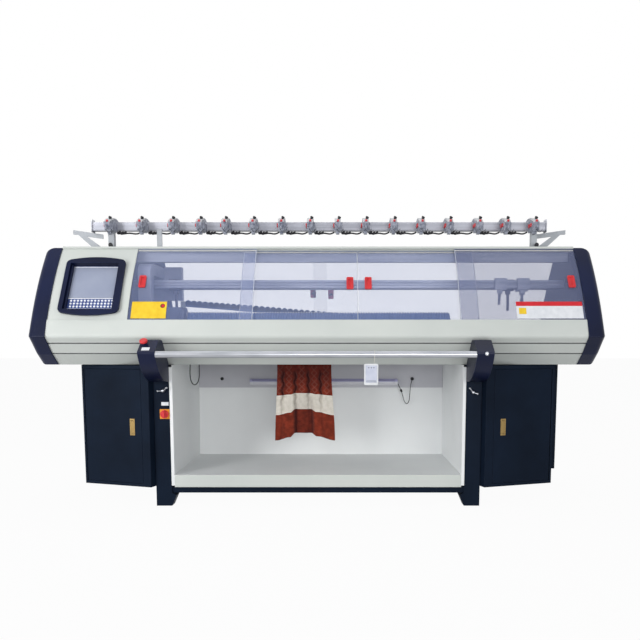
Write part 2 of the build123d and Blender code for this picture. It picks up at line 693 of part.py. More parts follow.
# Fabric bin under the beds: floor, leaning back wall, side walls and front lip
def make_fabric_bin():
    top = housing_bottom - 2
    wall = 3
    slope = (bin_back_high - bin_back_low) / (top - bin_floor)
    edge_y = bin_back_low + slope * (bin_panel_low - bin_floor)
    side = block((bin_half, bin_half + wall), (leg_front, bin_back_high), (bin_lip_low + 8, top))
    flange = block((bin_half, leg_inner - 1), (leg_front - wall, leg_front), (bin_lip_low + 8, housing_bottom - 12))
    floor = block((-bin_half, bin_half), (leg_front, bin_back_low), (bin_floor - wall, bin_floor))
    lip = block((-bin_half, bin_half), (leg_front - wall, leg_front), (bin_lip_low, bin_floor))
    back = along_x([(bin_back_low, bin_floor - wall), (bin_back_low + wall, bin_floor - wall),
                    (bin_back_high + wall, top), (bin_back_high, top)], -bin_half, bin_half)
    upper = along_x([(edge_y - 12, bin_panel_low), (edge_y, bin_panel_low), (bin_back_high, top),
                     (bin_back_high - 12, top)], -bin_half + 1, bin_half - 1)
    return group(side, flip_x(side), flange, flip_x(flange), floor, lip, back, upper)


def back_panel_y(z):
    slope = (bin_back_high - bin_back_low) / (housing_bottom - 2 - bin_floor)
    return bin_back_low + slope * (z - bin_floor) - 12


lamp_x, lamp_z = (-428, 464), 606


def make_work_lamp():
    # A tube lamp in a shallow channel on the bin's upper panel
    y = back_panel_y(lamp_z - 18)
    channel = block(lamp_x, (y - 10, y - 0.1), (lamp_z - 18, lamp_z + 18))
    tube = rod((lamp_x[0] + 14, y - 22, lamp_z), (lamp_x[1] - 14, y - 22, lamp_z), 13)
    lamp = channel
    for x in (lamp_x[0], lamp_x[1] - 16):
        lamp += block((x, x + 16), (y - 36, y - 9), (lamp_z - 15, lamp_z + 15))
    return lamp + tube


grommet_x, grommet_z = (-600, 554), 624


def make_grommets():
    rings = []
    for x in grommet_x:
        y = back_panel_y(grommet_z) - 0.6
        ring = rod((x, y - 5, grommet_z), (x, y, grommet_z), 10)
        rings.append(ring - rod((x, y - 6, grommet_z), (x, y - 2, grommet_z), 4.2))
    return group(*rings)


# Cords: straight runs joined by arcs as large as their runs allow
def cord_radii(points):
    radii = []
    for a, b, c in zip(points, points[1:], points[2:]):
        into, out = Vector(*b) - Vector(*a), Vector(*c) - Vector(*b)
        half_turn = math.radians(into.get_angle(out)) / 2
        radii.append(0.45 * min(into.length, out.length) / math.tan(half_turn))
    return radii


def make_cord(points, diameter, name):
    radii = cord_radii(points)
    path = FilletPolyline(*points, radius=radii)
    section = Plane(origin=path @ 0, z_dir=path % 0) * Circle(diameter / 2)
    tube = sweep(section, path=path)
    expected = math.pi * diameter ** 2 / 4 * path.length
    print(name, "length", round(path.length), "radii", [round(r) for r in radii],
          "volume ratio", round(tube.volume / expected, 3))
    return tube


lamp_lead_route = [(466, 409, 596), (474, 405, 578), (488, 402, 551), (496, 401, 519), (505, 401, 487),
                   (521, 401, 470), (535, 403, 491), (539, 408, 527), (541, 413, 562), (545, 415, 594),
                   (551, 417, 614), (553, 424, 623)]
sensor_cable_route = [(-709, 60, 732), (-711, 60, 700), (-712, 60, 662), (-706, 60, 626), (-688, 60, 607),
                      (-668, 60, 624), (-660, 60, 660), (-660, 60, 698), (-661, 60, 732)]
card_x = 276
card_cord_route = [(card_x, bar_y - 2.6, bar_z - 40), (card_x, bar_y - 23.5, bar_z + 7), (card_x, bar_y, bar_z + 24),
                   (card_x, bar_y + 23.5, bar_z + 7), (card_x, bar_y + 2.6, bar_z - 40)]


def make_lamp_plug(lead):
    # In-line connector a little way down the lamp's lead
    return rod((482.5, 403.2, 561.6), (489.3, 401.8, 546), 6.5) - lead


def make_hanging_card():
    x = (227, 294)
    card = block(x, (bar_y - 5, bar_y + 5), (644, 745))
    card = fillet(card.edges().filter_by(Axis.Y), 6)
    return card - block((x[0] + 8, x[1] - 8), (bar_y - 6, bar_y - 4), (654, 722))


# Yarn rack over the machine
def make_rack_beam():
    tube = block((-rack_half, rack_half), (rack_y - 20, rack_y + 20), (rack_low, rack_high))
    tube -= block((-rack_half - 1, rack_half + 1), (rack_y - 17, rack_y + 17), (rack_low + 3, rack_high - 3))
    for side in (-1, 1):
        x = (side * rack_half, side * (rack_half + 5))
        tube += block(x, (rack_y - 26, rack_y + 20), (rack_low - 8, rack_high + 15))
    return tube


def make_rack_supports():
    deck = 1333
    solids = []
    for x in (-1145, 1183):
        post = block((x - 16, x + 16), (rack_y - 14, rack_y + 14), (deck, rack_low))
        post += block((x - 30, x + 30), (rack_y - 24, rack_y + 24), (deck, deck + 8))
        solids.append(post)
    duct = block((-890, -862), (rack_y - 26, rack_y - 20), (deck, 1462))
    duct += block((-890, -862), (rack_y - 26, rack_y + 10), (deck, deck + 4))
    solids.append(duct)
    arm = [(1166, deck), (1222, deck), (1338, 1438), (1366, 1440), (1366, 1464), (1200, 1440), (1200, 1416),
           (1290, 1428), (1190, deck + 22), (1166, deck + 10)]
    bracket = along_y(arm, rack_y + 20, rack_y + 24)
    solids.append(bracket)
    solids.append(flip_x(bracket))
    return group(*solids)


unit_front, unit_half = 22, 15


def make_tension_unit(x):
    # One yarn tensioner: a domed body astride the beam, disc seats on its left, a side box and a guide arm
    back, shoulder, low, top = 198, rack_low + 28, rack_low - 14, 1518
    left, face = x - unit_half, rack_y - 20
    dome = ThreePointArc((left, back, rack_high + 2), (left, 112, top), (left, unit_front, shoulder))
    under = [(unit_front, shoulder), (unit_front + 20, low), (face, low), (face, rack_high), (back, rack_high),
             (back, rack_high + 2)]
    outline = [dome, Polyline(*[(left, y, z) for y, z in under])]
    body = extrude(make_face(outline), amount=2 * unit_half, dir=(1, 0, 0))
    for y, z in disc_spots:
        body += rod((left - 3, y, z), (left, y, z), 14)
    body += block((x + unit_half, x + unit_half + 10), (unit_front + 30, face - 2), (low + 4, rack_high - 14))
    eye = rod((x - 3, unit_front - 5, low + 14), (x + 3, unit_front - 5, low + 14), 9)
    eye -= rod((x - 4, unit_front - 5, low + 14), (x + 4, unit_front - 5, low + 14), 5.5)
    arm = along_x([(unit_front + 2, low + 18), (unit_front + 16, low + 12), (unit_front + 18, low + 4),
                   (unit_front + 1, low + 9)], x - 3, x + 3)
    clip = along_x([(unit_front + 34, low + 1), (unit_front + 66, low + 1), (unit_front + 58, low - 15),
                    (unit_front + 42, low - 12)], x - 9, x + 9)
    return body + arm + eye + clip - lamp_body(x)


disc_spots = ((60, rack_low + 18), (94, rack_low + 18))


def lamp_body(x):
    return rod((x + 2, 45, 1474), (x + 2, 26, 1493), 6.5)


def make_tension_lamp(x):
    # The red warning lamp at the front, and the red felts of the two disc pairs
    felts = [rod((x - unit_half - 9, y, z), (x - unit_half - 3, y, z), 10) for y, z in disc_spots]
    return [lamp_body(x), *felts]


# The knitted fabric that hangs down from between the take-down rollers
def make_knitted_panel():
    top, held, middle, bottom = 1000, 710, 556, 300
    waves, depth, thick, steps = 4.5, 9, 3, 26

    def section(z, sway):
        hang = max(0, (held - z) / (held - bottom))
        left, right = -231 - 14 * hang, 67 + 20 * hang
        front, back = [], []
        for i in range(steps + 1):
            share = i / steps
            x = left + share * (right - left)
            y = centre_y + sway * math.sin(2 * math.pi * waves * share)
            front.append((x, y - thick / 2, z))
            back.append((x, y + thick / 2, z))
        return make_face(Polyline(*front, *back[::-1], close=True))

    flat = section(middle, depth * 0.7)
    hang = loft([section(bottom, depth), flat], ruled=True)
    upper = loft([flat, section(held, 0)], ruled=True)
    between = extrude(section(held, 0), amount=top - held, dir=(0, 0, 1))
    return hang + upper + between


def build():
    lead = make_cord(lamp_lead_route, 4, "lamp_lead")
    front_bed = make_front_bed()
    cabinet = make_cabinet()
    door = make_door()
    lock = make_door_lock()
    module = make_power_module()
    bracket = bracket_body()
    parts = {
        "base_frame": make_base_frame(),
        "left_cabinet": flip_x(cabinet),
        "right_cabinet": cabinet,
        "left_door": flip_x(door),
        "right_door": door,
        "left_door_lock": flip_x(lock),
        "right_door_lock": lock,
        "power_modules": group(module, flip_x(module)),
        "fabric_bin": make_fabric_bin(),
        "work_lamp": make_work_lamp(),
        "grommets": make_grommets(),
        "lamp_lead": lead,
        "lamp_plug": make_lamp_plug(lead),
        "sensor_cable": make_cord(sensor_cable_route, 5, "sensor_cable"),
        "front_fascia": make_front_fascia(),
        "left_end_cap": flip_x(make_end_cap()),
        "right_end_cap": make_end_cap(),
        "control_plate": make_control_plate(),
        "screen_bezel": make_screen_bezel(),
        "screen": make_screen(),
        "keypad": make_keypad(),
        "housing_shell": make_housing_shell(),
        "left_bar_bracket": make_left_bracket(),
        "right_bar_bracket": bracket,
        "switch_plate": make_switch_plate(),
        "needle_bed_front": front_bed,
        "needle_bed_rear": flip_y(front_bed),
        "carriage_rails": make_carriage_rails(),
        "feeder_rails": make_feeder_rails(),
        "top_beam": block((-frame_x, frame_x), (-52, -8), (1264, 1320)),
        "rack_beam": make_rack_beam(),
        "rack_supports": make_rack_supports(),
        "tension_units": group(*[make_tension_unit(x) for x in unit_places]),
        "tension_lamps": group(*[piece for x in unit_places for piece in make_tension_lamp(x)]),
        "drive_belt": make_drive_belt(),
        "cable_chain": make_cable_chain(),
        "knitted_panel": make_knitted_panel(),
        "carriage_bridge": make_carriage_bridge(),
        "cam_boxes": make_cam_boxes(),
        "outer_left_cover": make_cover(window_left, left_pair[1], 0),
        "inner_left_cover": make_cover(left_pair[0], seam_x - 1, inner_track_depth),
        "inner_right_cover": make_cover(seam_x + 1, right_pair[1], inner_track_depth),
        "outer_right_cover": make_cover(right_pair[0], window_right, 0),
        "outer_left_pull": make_pull(-878, 0),
        "inner_left_pull": make_pull(164, inner_track_depth),
        "inner_right_pull": make_pull(256, inner_track_depth),
        "outer_right_pull": make_pull(1276, 0),
        "rear_left_cover": flip_y(group(make_cover(-window_right, 40, 0), make_pull(-42, 0, 32, 66, 1133))),
        "rear_right_cover": flip_y(group(make_cover(-40, window_right, inner_track_depth),
                                         make_pull(62, inner_track_depth, 32, 66, 1133))),
        "start_bar": make_start_bar(),
        "stop_button": make_stop_button(),
        "switch_knob": make_switch_knob(),
        "left_feeder": make_feeder(-775, feeder_rail_offsets[1]),
        "right_feeder": make_feeder(1030, feeder_rail_offsets[2]),
        "take_down_roller": make_roller(1),
        "press_roller": make_roller(-1),
        "drive_pulley": make_pulley(-pulley_x),
        "idler_pulley": make_pulley(pulley_x),
        "hanging_card": make_hanging_card(),
        "card_cord": make_cord(card_cord_route, 2.4, "card_cord"),
    }
    os.makedirs("parts", exist_ok=True)
    for name, shape in parts.items():
        export_step(shape, f"parts/{name}.step")
    print(len(parts), "nodes written")


build()
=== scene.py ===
# %% [markdown]
# # A flat knitting machine
# The solid parts come ready made, in metres, and this lesson gives them their looks: paint, clear
# plastic, bright metal, knitted wool and the small trim that is too fine for the solids. Every part
# keeps its place. We start by loading the solids and noting how much room they take.

# %% Load the solids
import math
import bpy
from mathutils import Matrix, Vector


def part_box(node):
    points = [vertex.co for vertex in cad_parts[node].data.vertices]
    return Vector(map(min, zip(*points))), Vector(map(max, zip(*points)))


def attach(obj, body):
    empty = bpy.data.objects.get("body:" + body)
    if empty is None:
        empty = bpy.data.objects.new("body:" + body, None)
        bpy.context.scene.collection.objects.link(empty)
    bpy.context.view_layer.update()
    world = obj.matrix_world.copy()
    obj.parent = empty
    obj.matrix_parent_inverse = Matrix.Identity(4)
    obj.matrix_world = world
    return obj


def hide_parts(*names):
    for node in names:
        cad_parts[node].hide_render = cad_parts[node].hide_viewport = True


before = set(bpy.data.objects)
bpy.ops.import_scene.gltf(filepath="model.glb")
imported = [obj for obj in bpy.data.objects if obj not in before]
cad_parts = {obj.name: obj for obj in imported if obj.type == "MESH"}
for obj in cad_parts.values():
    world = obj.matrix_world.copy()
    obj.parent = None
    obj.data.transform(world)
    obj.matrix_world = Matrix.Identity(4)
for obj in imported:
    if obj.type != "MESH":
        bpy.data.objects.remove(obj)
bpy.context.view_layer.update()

# %% [markdown]
# ## The camera
# The photograph was taken from a little above the machine's middle, about three metres in front of it,
# with a normal lens tilted down by six degrees. A camera can be placed by eye, but this one was fitted
# to points of the machine, so that each piece lands where the photograph has it. The centre of view
# lies below the middle of the frame, which a small lens shift gives.

# %% Set the camera
camera_data = bpy.data.cameras.new("camera")
camera_data.lens = 37.125
camera_data.sensor_width = 36
camera_data.shift_x = -0.0278
camera_data.shift_y = 0.1420
camera = bpy.data.objects.new("camera", camera_data)
camera.location = (0.1026, -3.5776, 0.8497)
tilt_down = 6.01
camera.rotation_euler = (math.radians(90 - tilt_down), 0, 0)
bpy.context.collection.objects.link(camera)
bpy.context.scene.camera = camera
bpy.context.scene.view_settings.view_transform = "Standard"
print("camera at", tuple(round(c, 2) for c in camera.location))

# %% [markdown]
# ## Collecting finishes
# Real surfaces are never one flat colour. Paint clouds a little, moulded plastic has a fine grain, and
# ground metal has long scratches. Pictures could give that, but noise at the size of the real grain
# fits any form without a seam. We write colours as a paint card does and turn them into light first.

# %% Colours off a paint card
def linear(red, green, blue):
    # A colour in steps of 0-255, turned into light
    def part(value):
        value /= 255
        return value / 12.92 if value <= 0.04045 else ((value + 0.055) / 1.055) ** 2.4
    return part(red), part(green), part(blue), 1


print("the pale panel is", [round(c, 3) for c in linear(206, 210, 205)[:3]], "in light")

# %% [markdown]
# The principled surface does the shading. Its colour comes from a slow noise between two close shades,
# and its bump from a fast one. The bump starts from a softly rounded edge, because no real sheet or
# moulding has a sharp corner. That could be modelled on every solid, but the solids stay as they are,
# and a shader's rounding costs nothing in the mesh.

# %% A surface with clouds and grain
class Finish:
    def __init__(self, name, roughness=0.5, metallic=0.0, gloss=0.5, soft_edges=True):
        self.soft_edges, self.edge = soft_edges, None
        self.material = bpy.data.materials.new(name)
        self.material.use_nodes = True
        self.tree = self.material.node_tree
        self.shader = self.tree.nodes["Principled BSDF"]
        self.shader.inputs["Roughness"].default_value = roughness
        self.shader.inputs["Metallic"].default_value = metallic
        self.shader.inputs["Specular IOR Level"].default_value = gloss

    def add(self, kind, **settings):
        node = self.tree.nodes.new(kind)
        for key, value in settings.items():
            if key in node.inputs:
                node.inputs[key].default_value = value
            else:
                setattr(node, key, value)
        return node

    def join(self, a, output, b, target):
        self.tree.links.new(a.outputs[output], b.inputs[target])

    def places(self, stretch=(1, 1, 1)):
        # Object coordinates are metres in the machine's own frame
        coordinates = self.add("ShaderNodeTexCoord")
        mapping = self.add("ShaderNodeMapping", Scale=stretch)
        self.join(coordinates, "Object", mapping, "Vector")
        return mapping

    def cloud(self, mapping, scale, detail=4.0):
        noise = self.add("ShaderNodeTexNoise", Scale=scale, Detail=detail)
        self.join(mapping, "Vector", noise, "Vector")
        return noise

    def ramp(self, source, output, stops):
        ramp = self.add("ShaderNodeValToRGB")
        while len(ramp.color_ramp.elements) < len(stops):
            ramp.color_ramp.elements.new(0.5)
        for element, (place, colour) in zip(ramp.color_ramp.elements, stops):
            element.position = place
            element.color = colour
        self.join(source, output, ramp, "Fac")
        return ramp

    def tint(self, dark, light, mapping, scale=6.0):
        ramp = self.ramp(self.cloud(mapping, scale), "Fac", [(0.3, dark), (0.7, light)])
        self.join(ramp, "Color", self.shader, "Base Color")
        return ramp

    def rounded(self, radius=0.0025):
        # The normal of a softly rounded edge, made once and shared
        if self.edge is None:
            self.edge = self.add("ShaderNodeBevel", Radius=radius)
            self.edge.samples = 4
        return self.edge

    def grain(self, mapping, scale, depth, detail=3.0):
        bump = self.add("ShaderNodeBump", Strength=0.6, Distance=depth)
        self.join(self.cloud(mapping, scale, detail), "Fac", bump, "Height")
        if self.soft_edges:
            self.join(self.rounded(), "Normal", bump, "Normal")
        self.join(bump, "Normal", self.shader, "Normal")
        return bump


print("a surface can be made")

# %% [markdown]
# Hands and cloths rub a coat thin along its corners, where the paint shows lighter. On several mouldings
# the same lighter colour is also a painted highlight, where light would catch their rounded corners.
# Painting that by hand would take a picture for each piece. The rounded normal leaves the flat one only
# at corners, so the angle between the two says where to lighten.

# %% Rubbed edges and painted highlights
def edge_wear_and_highlight(finish, ramp, wear_and_highlight):
    # Corners are lighter, as rubbed paint and painted highlight: the rounded normal leaves the flat one there
    full, none = (0.80, (0.6, 0.6, 0.6, 1)), (0.985, (0, 0, 0, 1))
    geometry = finish.add("ShaderNodeNewGeometry")
    turn = finish.add("ShaderNodeVectorMath", operation="DOT_PRODUCT")
    finish.join(geometry, "Normal", turn, 0)
    finish.join(finish.rounded(), "Normal", turn, 1)
    mask = finish.ramp(turn, "Value", [full, none])
    mix = finish.add("ShaderNodeMix", data_type="RGBA")
    finish.join(mask, "Color", mix, "Factor")
    finish.tree.links.new(ramp.outputs["Color"], mix.inputs[6])
    mix.inputs[7].default_value = wear_and_highlight
    finish.tree.links.new(mix.outputs[2], finish.shader.inputs["Base Color"])


print("edges can be rubbed")

# %% [markdown]
# A solid takes a finish in its material slot. Where one solid has two finishes on the real machine, a
# second slot is given to the faces that pass a test on their middle and their direction, which leaves
# the solid's shape alone.

# %% Dressing and repainting the solids
def dress(finish, *nodes):
    for node in nodes:
        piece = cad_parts[node]
        piece.data.materials.clear()
        piece.data.materials.append(finish.material)
    print(finish.material.name, "on", ", ".join(nodes))


def repaint(finish, node, chosen):
    # A second finish on the faces of a solid whose middle passes a test
    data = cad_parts[node].data
    data.materials.append(finish.material)
    place = len(data.materials) - 1
    count = 0
    for face in data.polygons:
        if chosen(face.center, face.normal):
            face.material_index = place
            count += 1
    print(finish.material.name, "on", count, "faces of", node)


print(len(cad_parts), "solids to dress")

# %% [markdown]
# Most pieces of the machine are painted or moulded, and they differ in colour, sheen, grain and wear
# only. One helper holds what they share, so that each piece below is told in a line or two.

# %% A coat of paint or a moulding
def coat(name, dark, light, clouds, roughness=0.45, gloss=0.3, wear_and_highlight=None, grain=(900, 0.0003),
         stretch=(1, 1, 1), metallic=0.0):
    # Two close shades in clouds, a grain (its scale and depth) and, if asked, edges of wear and highlight
    finish = Finish(name, roughness=roughness, metallic=metallic, gloss=gloss)
    mapping = finish.places(stretch)
    shades = finish.tint(linear(*dark), linear(*light), mapping, clouds)
    finish.shades = shades.outputs["Color"]
    if wear_and_highlight:
        edge_wear_and_highlight(finish, shades, linear(*wear_and_highlight))
    finish.grain(mapping, *grain)
    return finish


print("coats can be mixed")

# %% [markdown]
# ## Cords first
# Three cords hang on the machine: the lamp's lead, a sensor cable behind the front panel, and the thin
# string that holds a small card on the start bar. A mesh tube would need many rings to look round.
# Each cord is a smooth curve pulled by its control points instead, as a real cord has no corners. The
# points and the thickness are in millimetres.

# %% Make a cord from its control points
def hang_cord(name, points, thickness, body):
    data = bpy.data.curves.new(name, "CURVE")
    data.dimensions = "3D"
    spline = data.splines.new("NURBS")
    spline.points.add(len(points) - 1)
    for point, place in zip(spline.points, points):
        point.co = (*[c / 1000 for c in place], 1)
        # The radius sits on the points and the bevel is 1, so that the cord's box is its true one
        point.radius = thickness / 1000 / 2
    spline.order_u = 3
    spline.use_endpoint_u = True
    spline.resolution_u = 12
    data.bevel_depth = 1
    data.bevel_resolution = 5
    data.use_fill_caps = True
    cord = bpy.data.objects.new(name, data)
    bpy.context.collection.objects.link(cord)
    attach(cord, body)
    return cord


lead = hang_cord("lamp_lead_cord", [
    (466, 409, 596), (474, 405, 578), (488, 402, 551), (496, 401, 519), (505, 401, 487),
    (521, 401, 470), (535, 403, 491), (539, 408, 527), (541, 413, 562), (545, 415, 594),
    (551, 417, 614), (553, 424, 623)], 4, "machine")
sensor = hang_cord("sensor_loop", [
    (-709, 60, 732), (-711, 60, 700), (-712, 60, 662), (-706, 60, 626), (-688, 60, 607),
    (-668, 60, 624), (-660, 60, 660), (-660, 60, 698), (-661, 60, 732)], 5, "machine")
string = hang_cord("card_string", [
    (276, -455.6, 748), (276, -476.5, 795), (276, -453, 812), (276, -429.5, 795), (276, -450.4, 748)],
    2.4, "card")
print("three cords hung")

# %% Cord sheathing
sheath = coat("cord_rubber", (16, 16, 19), (30, 30, 34), 40, roughness=0.55, gloss=0.5, grain=(900, 0.0002))
twine = coat("card_twine", (196, 193, 184), (226, 224, 216), 300, roughness=0.85, gloss=0.5,
             grain=(1400, 0.0006))
for cord, finish, slot in ((lead, sheath, "black_rubber"), (sensor, sheath, "black_rubber"),
                           (string, twine, "card_cord_fibre")):
    cord.data.materials.append(finish.material)
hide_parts("lamp_lead")
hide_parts("sensor_cable")
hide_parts("card_cord")

# %% [markdown]
# ## Light and floor
# A machine like this is photographed in a white studio. One pale floor, a white world and four soft
# lamps are enough. The floor and the world look white to the camera and in reflections, while the light
# that they give stays low, so the shading stays soft and the floor keeps the machine's shadow.

# %% Floor
def seen_directly(tree):
    # 1 for what the camera sees, straight, mirrored or through glass, and 0 for what lights the machine
    path = tree.nodes.new("ShaderNodeLightPath")
    total = path.outputs["Is Camera Ray"]
    for name in ("Is Glossy Ray", "Is Transmission Ray"):
        either = tree.nodes.new("ShaderNodeMath")
        either.operation = "MAXIMUM"
        tree.links.new(total, either.inputs[0])
        tree.links.new(path.outputs[name], either.inputs[1])
        total = either.outputs[0]
    return total


floor_half, floor_brightness = 30, 0.96
floor_data = bpy.data.meshes.new("floor")
floor_data.from_pydata([(-floor_half, -floor_half, 0), (floor_half, -floor_half, 0),
                        (floor_half, floor_half, 0), (-floor_half, floor_half, 0)], [], [(0, 1, 2, 3)])
floor = bpy.data.objects.new("floor", floor_data)
bpy.context.collection.objects.link(floor)
floor_finish = Finish("studio_floor", roughness=0.9, gloss=0.0)
floor_finish.tint(linear(196, 196, 198), linear(202, 202, 203), floor_finish.places(), 0.4)
glow = floor_finish.add("ShaderNodeEmission", Color=(1, 1, 1, 1), Strength=1.0)
share = floor_finish.add("ShaderNodeMath", operation="MULTIPLY")
share.inputs[1].default_value = floor_brightness
floor_finish.tree.links.new(seen_directly(floor_finish.tree), share.inputs[0])
floor_mix = floor_finish.add("ShaderNodeMixShader")
floor_out = floor_finish.tree.nodes["Material Output"]
floor_finish.join(share, "Value", floor_mix, 0)
floor_finish.tree.links.new(floor_finish.shader.outputs["BSDF"], floor_mix.inputs[1])
floor_finish.tree.links.new(glow.outputs["Emission"], floor_mix.inputs[2])
floor_finish.tree.links.new(floor_mix.outputs["Shader"], floor_out.inputs["Surface"])
floor_data.materials.append(floor_finish.material)
print("floor laid")

# %% World
world = bpy.data.worlds.new("studio")
bpy.context.scene.world = world
world.use_nodes = True
sky = world.node_tree
sky.nodes.clear()
seen = sky.nodes.new("ShaderNodeBackground")
seen.inputs["Color"].default_value = (1, 1, 1, 1)
seen.inputs["Strength"].default_value = 1.0
light = sky.nodes.new("ShaderNodeBackground")
light.inputs["Color"].default_value = (0.95, 0.97, 1, 1)
light.inputs["Strength"].default_value = 0.42
choose = sky.nodes.new("ShaderNodeMixShader")
sky_out = sky.nodes.new("ShaderNodeOutputWorld")
sky.links.new(seen_directly(sky), choose.inputs[0])
sky.links.new(light.outputs[0], choose.inputs[1])
sky.links.new(seen.outputs[0], choose.inputs[2])
sky.links.new(choose.outputs[0], sky_out.inputs[0])
print("white world ready")

# %% Lamps
def soft_lamp(name, place, aim, size, power):
    data = bpy.data.lights.new(name, "AREA")
    data.shape = "RECTANGLE"
    data.size, data.size_y = size
    data.energy = power
    lamp = bpy.data.objects.new(name, data)
    lamp.location = place
    lamp.rotation_euler = (Vector(aim) - Vector(place)).to_track_quat("-Z", "Y").to_euler()
    bpy.context.collection.objects.link(lamp)


soft_lamp("key", (-3.4, -3.6, 1.1), (0.5, 0, 0.5), (2.2, 1.8), 78)
soft_lamp("front", (1.3, -5.0, 1.2), (0.2, 0, 0.7), (4.0, 1.8), 92)
soft_lamp("top", (0, 0.2, 4.6), (0, 0, 1), (4.5, 2.4), 34)
soft_lamp("edge", (-3.0, -3.6, 2.7), (-1.4, -0.3, 1.0), (0.9, 1.3), 34)
print("four lamps hung")

# %% [markdown]
# ## Paint and moulded shells
# The frame and cabinets are steel with a dark navy powder coat, which shows a fine orange peel. The end
# caps and brackets are moulded in the same navy, with a softer sheen. Orange peel could be pushed into
# the mesh, but bumps this fine are far lighter in the shader. The coat's roughness varies in patches,
# so that broad faces don't shine evenly.

# %% Navy coat and navy plastic
def rough_patches(finish, mapping, low, high, scale=9.0):
    spread = finish.add("ShaderNodeMapRange", **{"To Min": low, "To Max": high})
    finish.join(finish.cloud(mapping, scale), "Fac", spread, "Value")
    finish.join(spread, "Result", finish.shader, "Roughness")


navy = coat("navy_powder_coat", (12, 21, 34), (18, 29, 45), 5, roughness=0.5, gloss=0.06,
            wear_and_highlight=(46, 56, 76), grain=(420, 0.0006))
rough_patches(navy, navy.places(), 0.44, 0.58)
dress(navy, "base_frame", "left_cabinet", "right_cabinet", "left_door", "right_door")
# The lighter edges of the navy moulding are a painted highlight
shell = coat("navy_moulding", (13, 19, 42), (20, 29, 62), 3, roughness=0.34, gloss=0.16,
             wear_and_highlight=(60, 74, 112), grain=(800, 0.0003))
dress(shell, "left_end_cap", "right_end_cap", "screen_bezel", "left_bar_bracket", "right_bar_bracket")

# %% [markdown]
# The front panel is a pale grey-green sheet with two long grooves, which are dark with painted shade.
# A mask could draw them, but the faces are there already, so those near a groove's middle line get a
# darker finish as painted shade.

# %% Pale panel paint and painted shade in the grooves
# The lighter edges of the pale paint are partly rubbed paint and partly a painted highlight, as round the
# bezel
pale = coat("pale_panel_paint", (196, 201, 197), (206, 210, 205), 2.5, roughness=0.4,
            wear_and_highlight=(222, 226, 221), grain=(500, 0.0003))
dress(pale, "front_fascia", "control_plate", "housing_shell")
# Painted shade on the faces of the two grooves
groove_shade = Finish("groove_shade", roughness=0.6, gloss=0.1)
groove_shade.tint(linear(84, 87, 88), linear(104, 107, 108), groove_shade.places(), 12)
groove_places, groove_reach = ((-0.314, 0.840), (-0.266, 0.789)), 0.0043


def in_groove(c, n):
    return any(math.hypot(c.y - y, c.z - z) < groove_reach for y, z in groove_places)


repaint(groove_shade, "front_fascia", in_groove)

# %% [markdown]
# The bin is white sheet. Its front lip is painted like the front panel, and the upper part of its back
# is a grey panel, whose darker grey is partly painted shade under the housing. All of it is one solid, so
# the lip and the panel are found by where their faces lie.

# %% White sheet, bin lip and grey upper panel with painted shade
white = coat("white_sheet_paint", (228, 230, 231), (238, 240, 240), 2, roughness=0.5, grain=(380, 0.0004))
dress(white, "fabric_bin")
lip_front, lip_top, lip_half_long = -0.19, 0.3, 0.7
repaint(pale, "fabric_bin",
        lambda c, n: n.y < -0.9 and c.y < lip_front and c.z < lip_top and abs(c.x) < lip_half_long)
support_grey = coat("support_paint", (168, 172, 178), (186, 190, 195), 5, wear_and_highlight=(116, 118, 128),
                    grain=(380, 0.0004))
dress(support_grey, "rack_supports")
# Grey sheet of the upper back panel, darker partly as painted shade under the housing
panel_grey_and_shade = coat("grey_sheet_and_shade_paint", (186, 186, 193), (200, 200, 206), 3, roughness=0.55, gloss=0.25,
                  grain=(380, 0.0004))
panel_low, panel_front, panel_half_long = 0.5705, 0.39, 0.7405
repaint(panel_grey_and_shade, "fabric_bin",
        lambda c, n: c.z > panel_low and c.y > panel_front and abs(c.x) < panel_half_long)

# %% [markdown]
# ## Clear covers
# The sliding covers are bent acrylic with a faint lavender haze, worn by hands, and the outer right one
# is darker and hazier. Glass with true refraction would be noisy and dark in so many layers. A partly
# see-through surface with a low roughness gives the same haze, and slow waves in its bump bend the
# reflections.

# %% Acrylic
def clear_sheet(name, dark, light, cover):
    finish = Finish(name, roughness=0.14, gloss=0.35, soft_edges=False)
    mapping = finish.places((1, 1, 3))
    finish.tint(dark, light, mapping, 1.6)
    finish.grain(mapping, 5, 0.004, detail=1.0)
    finish.shader.inputs["Alpha"].default_value = cover
    return finish


acrylic = clear_sheet("hazy_acrylic", linear(140, 156, 206), linear(170, 182, 220), 0.20)
rear_acrylic = clear_sheet("clear_acrylic", linear(200, 204, 214), linear(216, 220, 228), 0.06)
# The outer right cover is darker and hazier than the others
dark_hazy_acrylic = clear_sheet("dark_hazy_acrylic", linear(112, 121, 160), linear(132, 141, 178), 0.33)
dress(acrylic, "outer_left_cover", "inner_left_cover", "inner_right_cover")
dress(dark_hazy_acrylic, "outer_right_cover")
dress(rear_acrylic, "rear_left_cover", "rear_right_cover")

# %% [markdown]
# Every cover has a red pull, moulded in a glossy plastic. On the rear covers the pull belongs to the
# cover's own solid and lies in shade behind the acrylic, so there the faces round the pull's middle take
# a lighter red in a second slot, as painted light.

# %% Red plastic
# The lighter edges of the red mouldings are a painted highlight
red = coat("red_moulding", (196, 34, 42), (214, 46, 52), 30, roughness=0.34, gloss=0.4,
           wear_and_highlight=(236, 112, 112), grain=(1500, 0.0002))
dress(red, "outer_left_pull", "inner_left_pull", "inner_right_pull", "outer_right_pull",
      "stop_button", "switch_knob", "tension_lamps")
# Painted light: a lighter red on the shaded rear pulls
rear_red_painted_light = coat("red_moulding_painted_light", (236, 96, 108), (246, 116, 124), 30, roughness=0.4,
                grain=(1500, 0.0002))
pull_z, pull_half_wide, pull_half_high = 1.133, 0.0165, 0.036
for node, pull_x in (("rear_left_cover", -0.042), ("rear_right_cover", 0.062)):
    repaint(rear_red_painted_light, node,
            lambda c, n: abs(c.x - pull_x) < pull_half_wide and abs(c.z - pull_z) < pull_half_high)

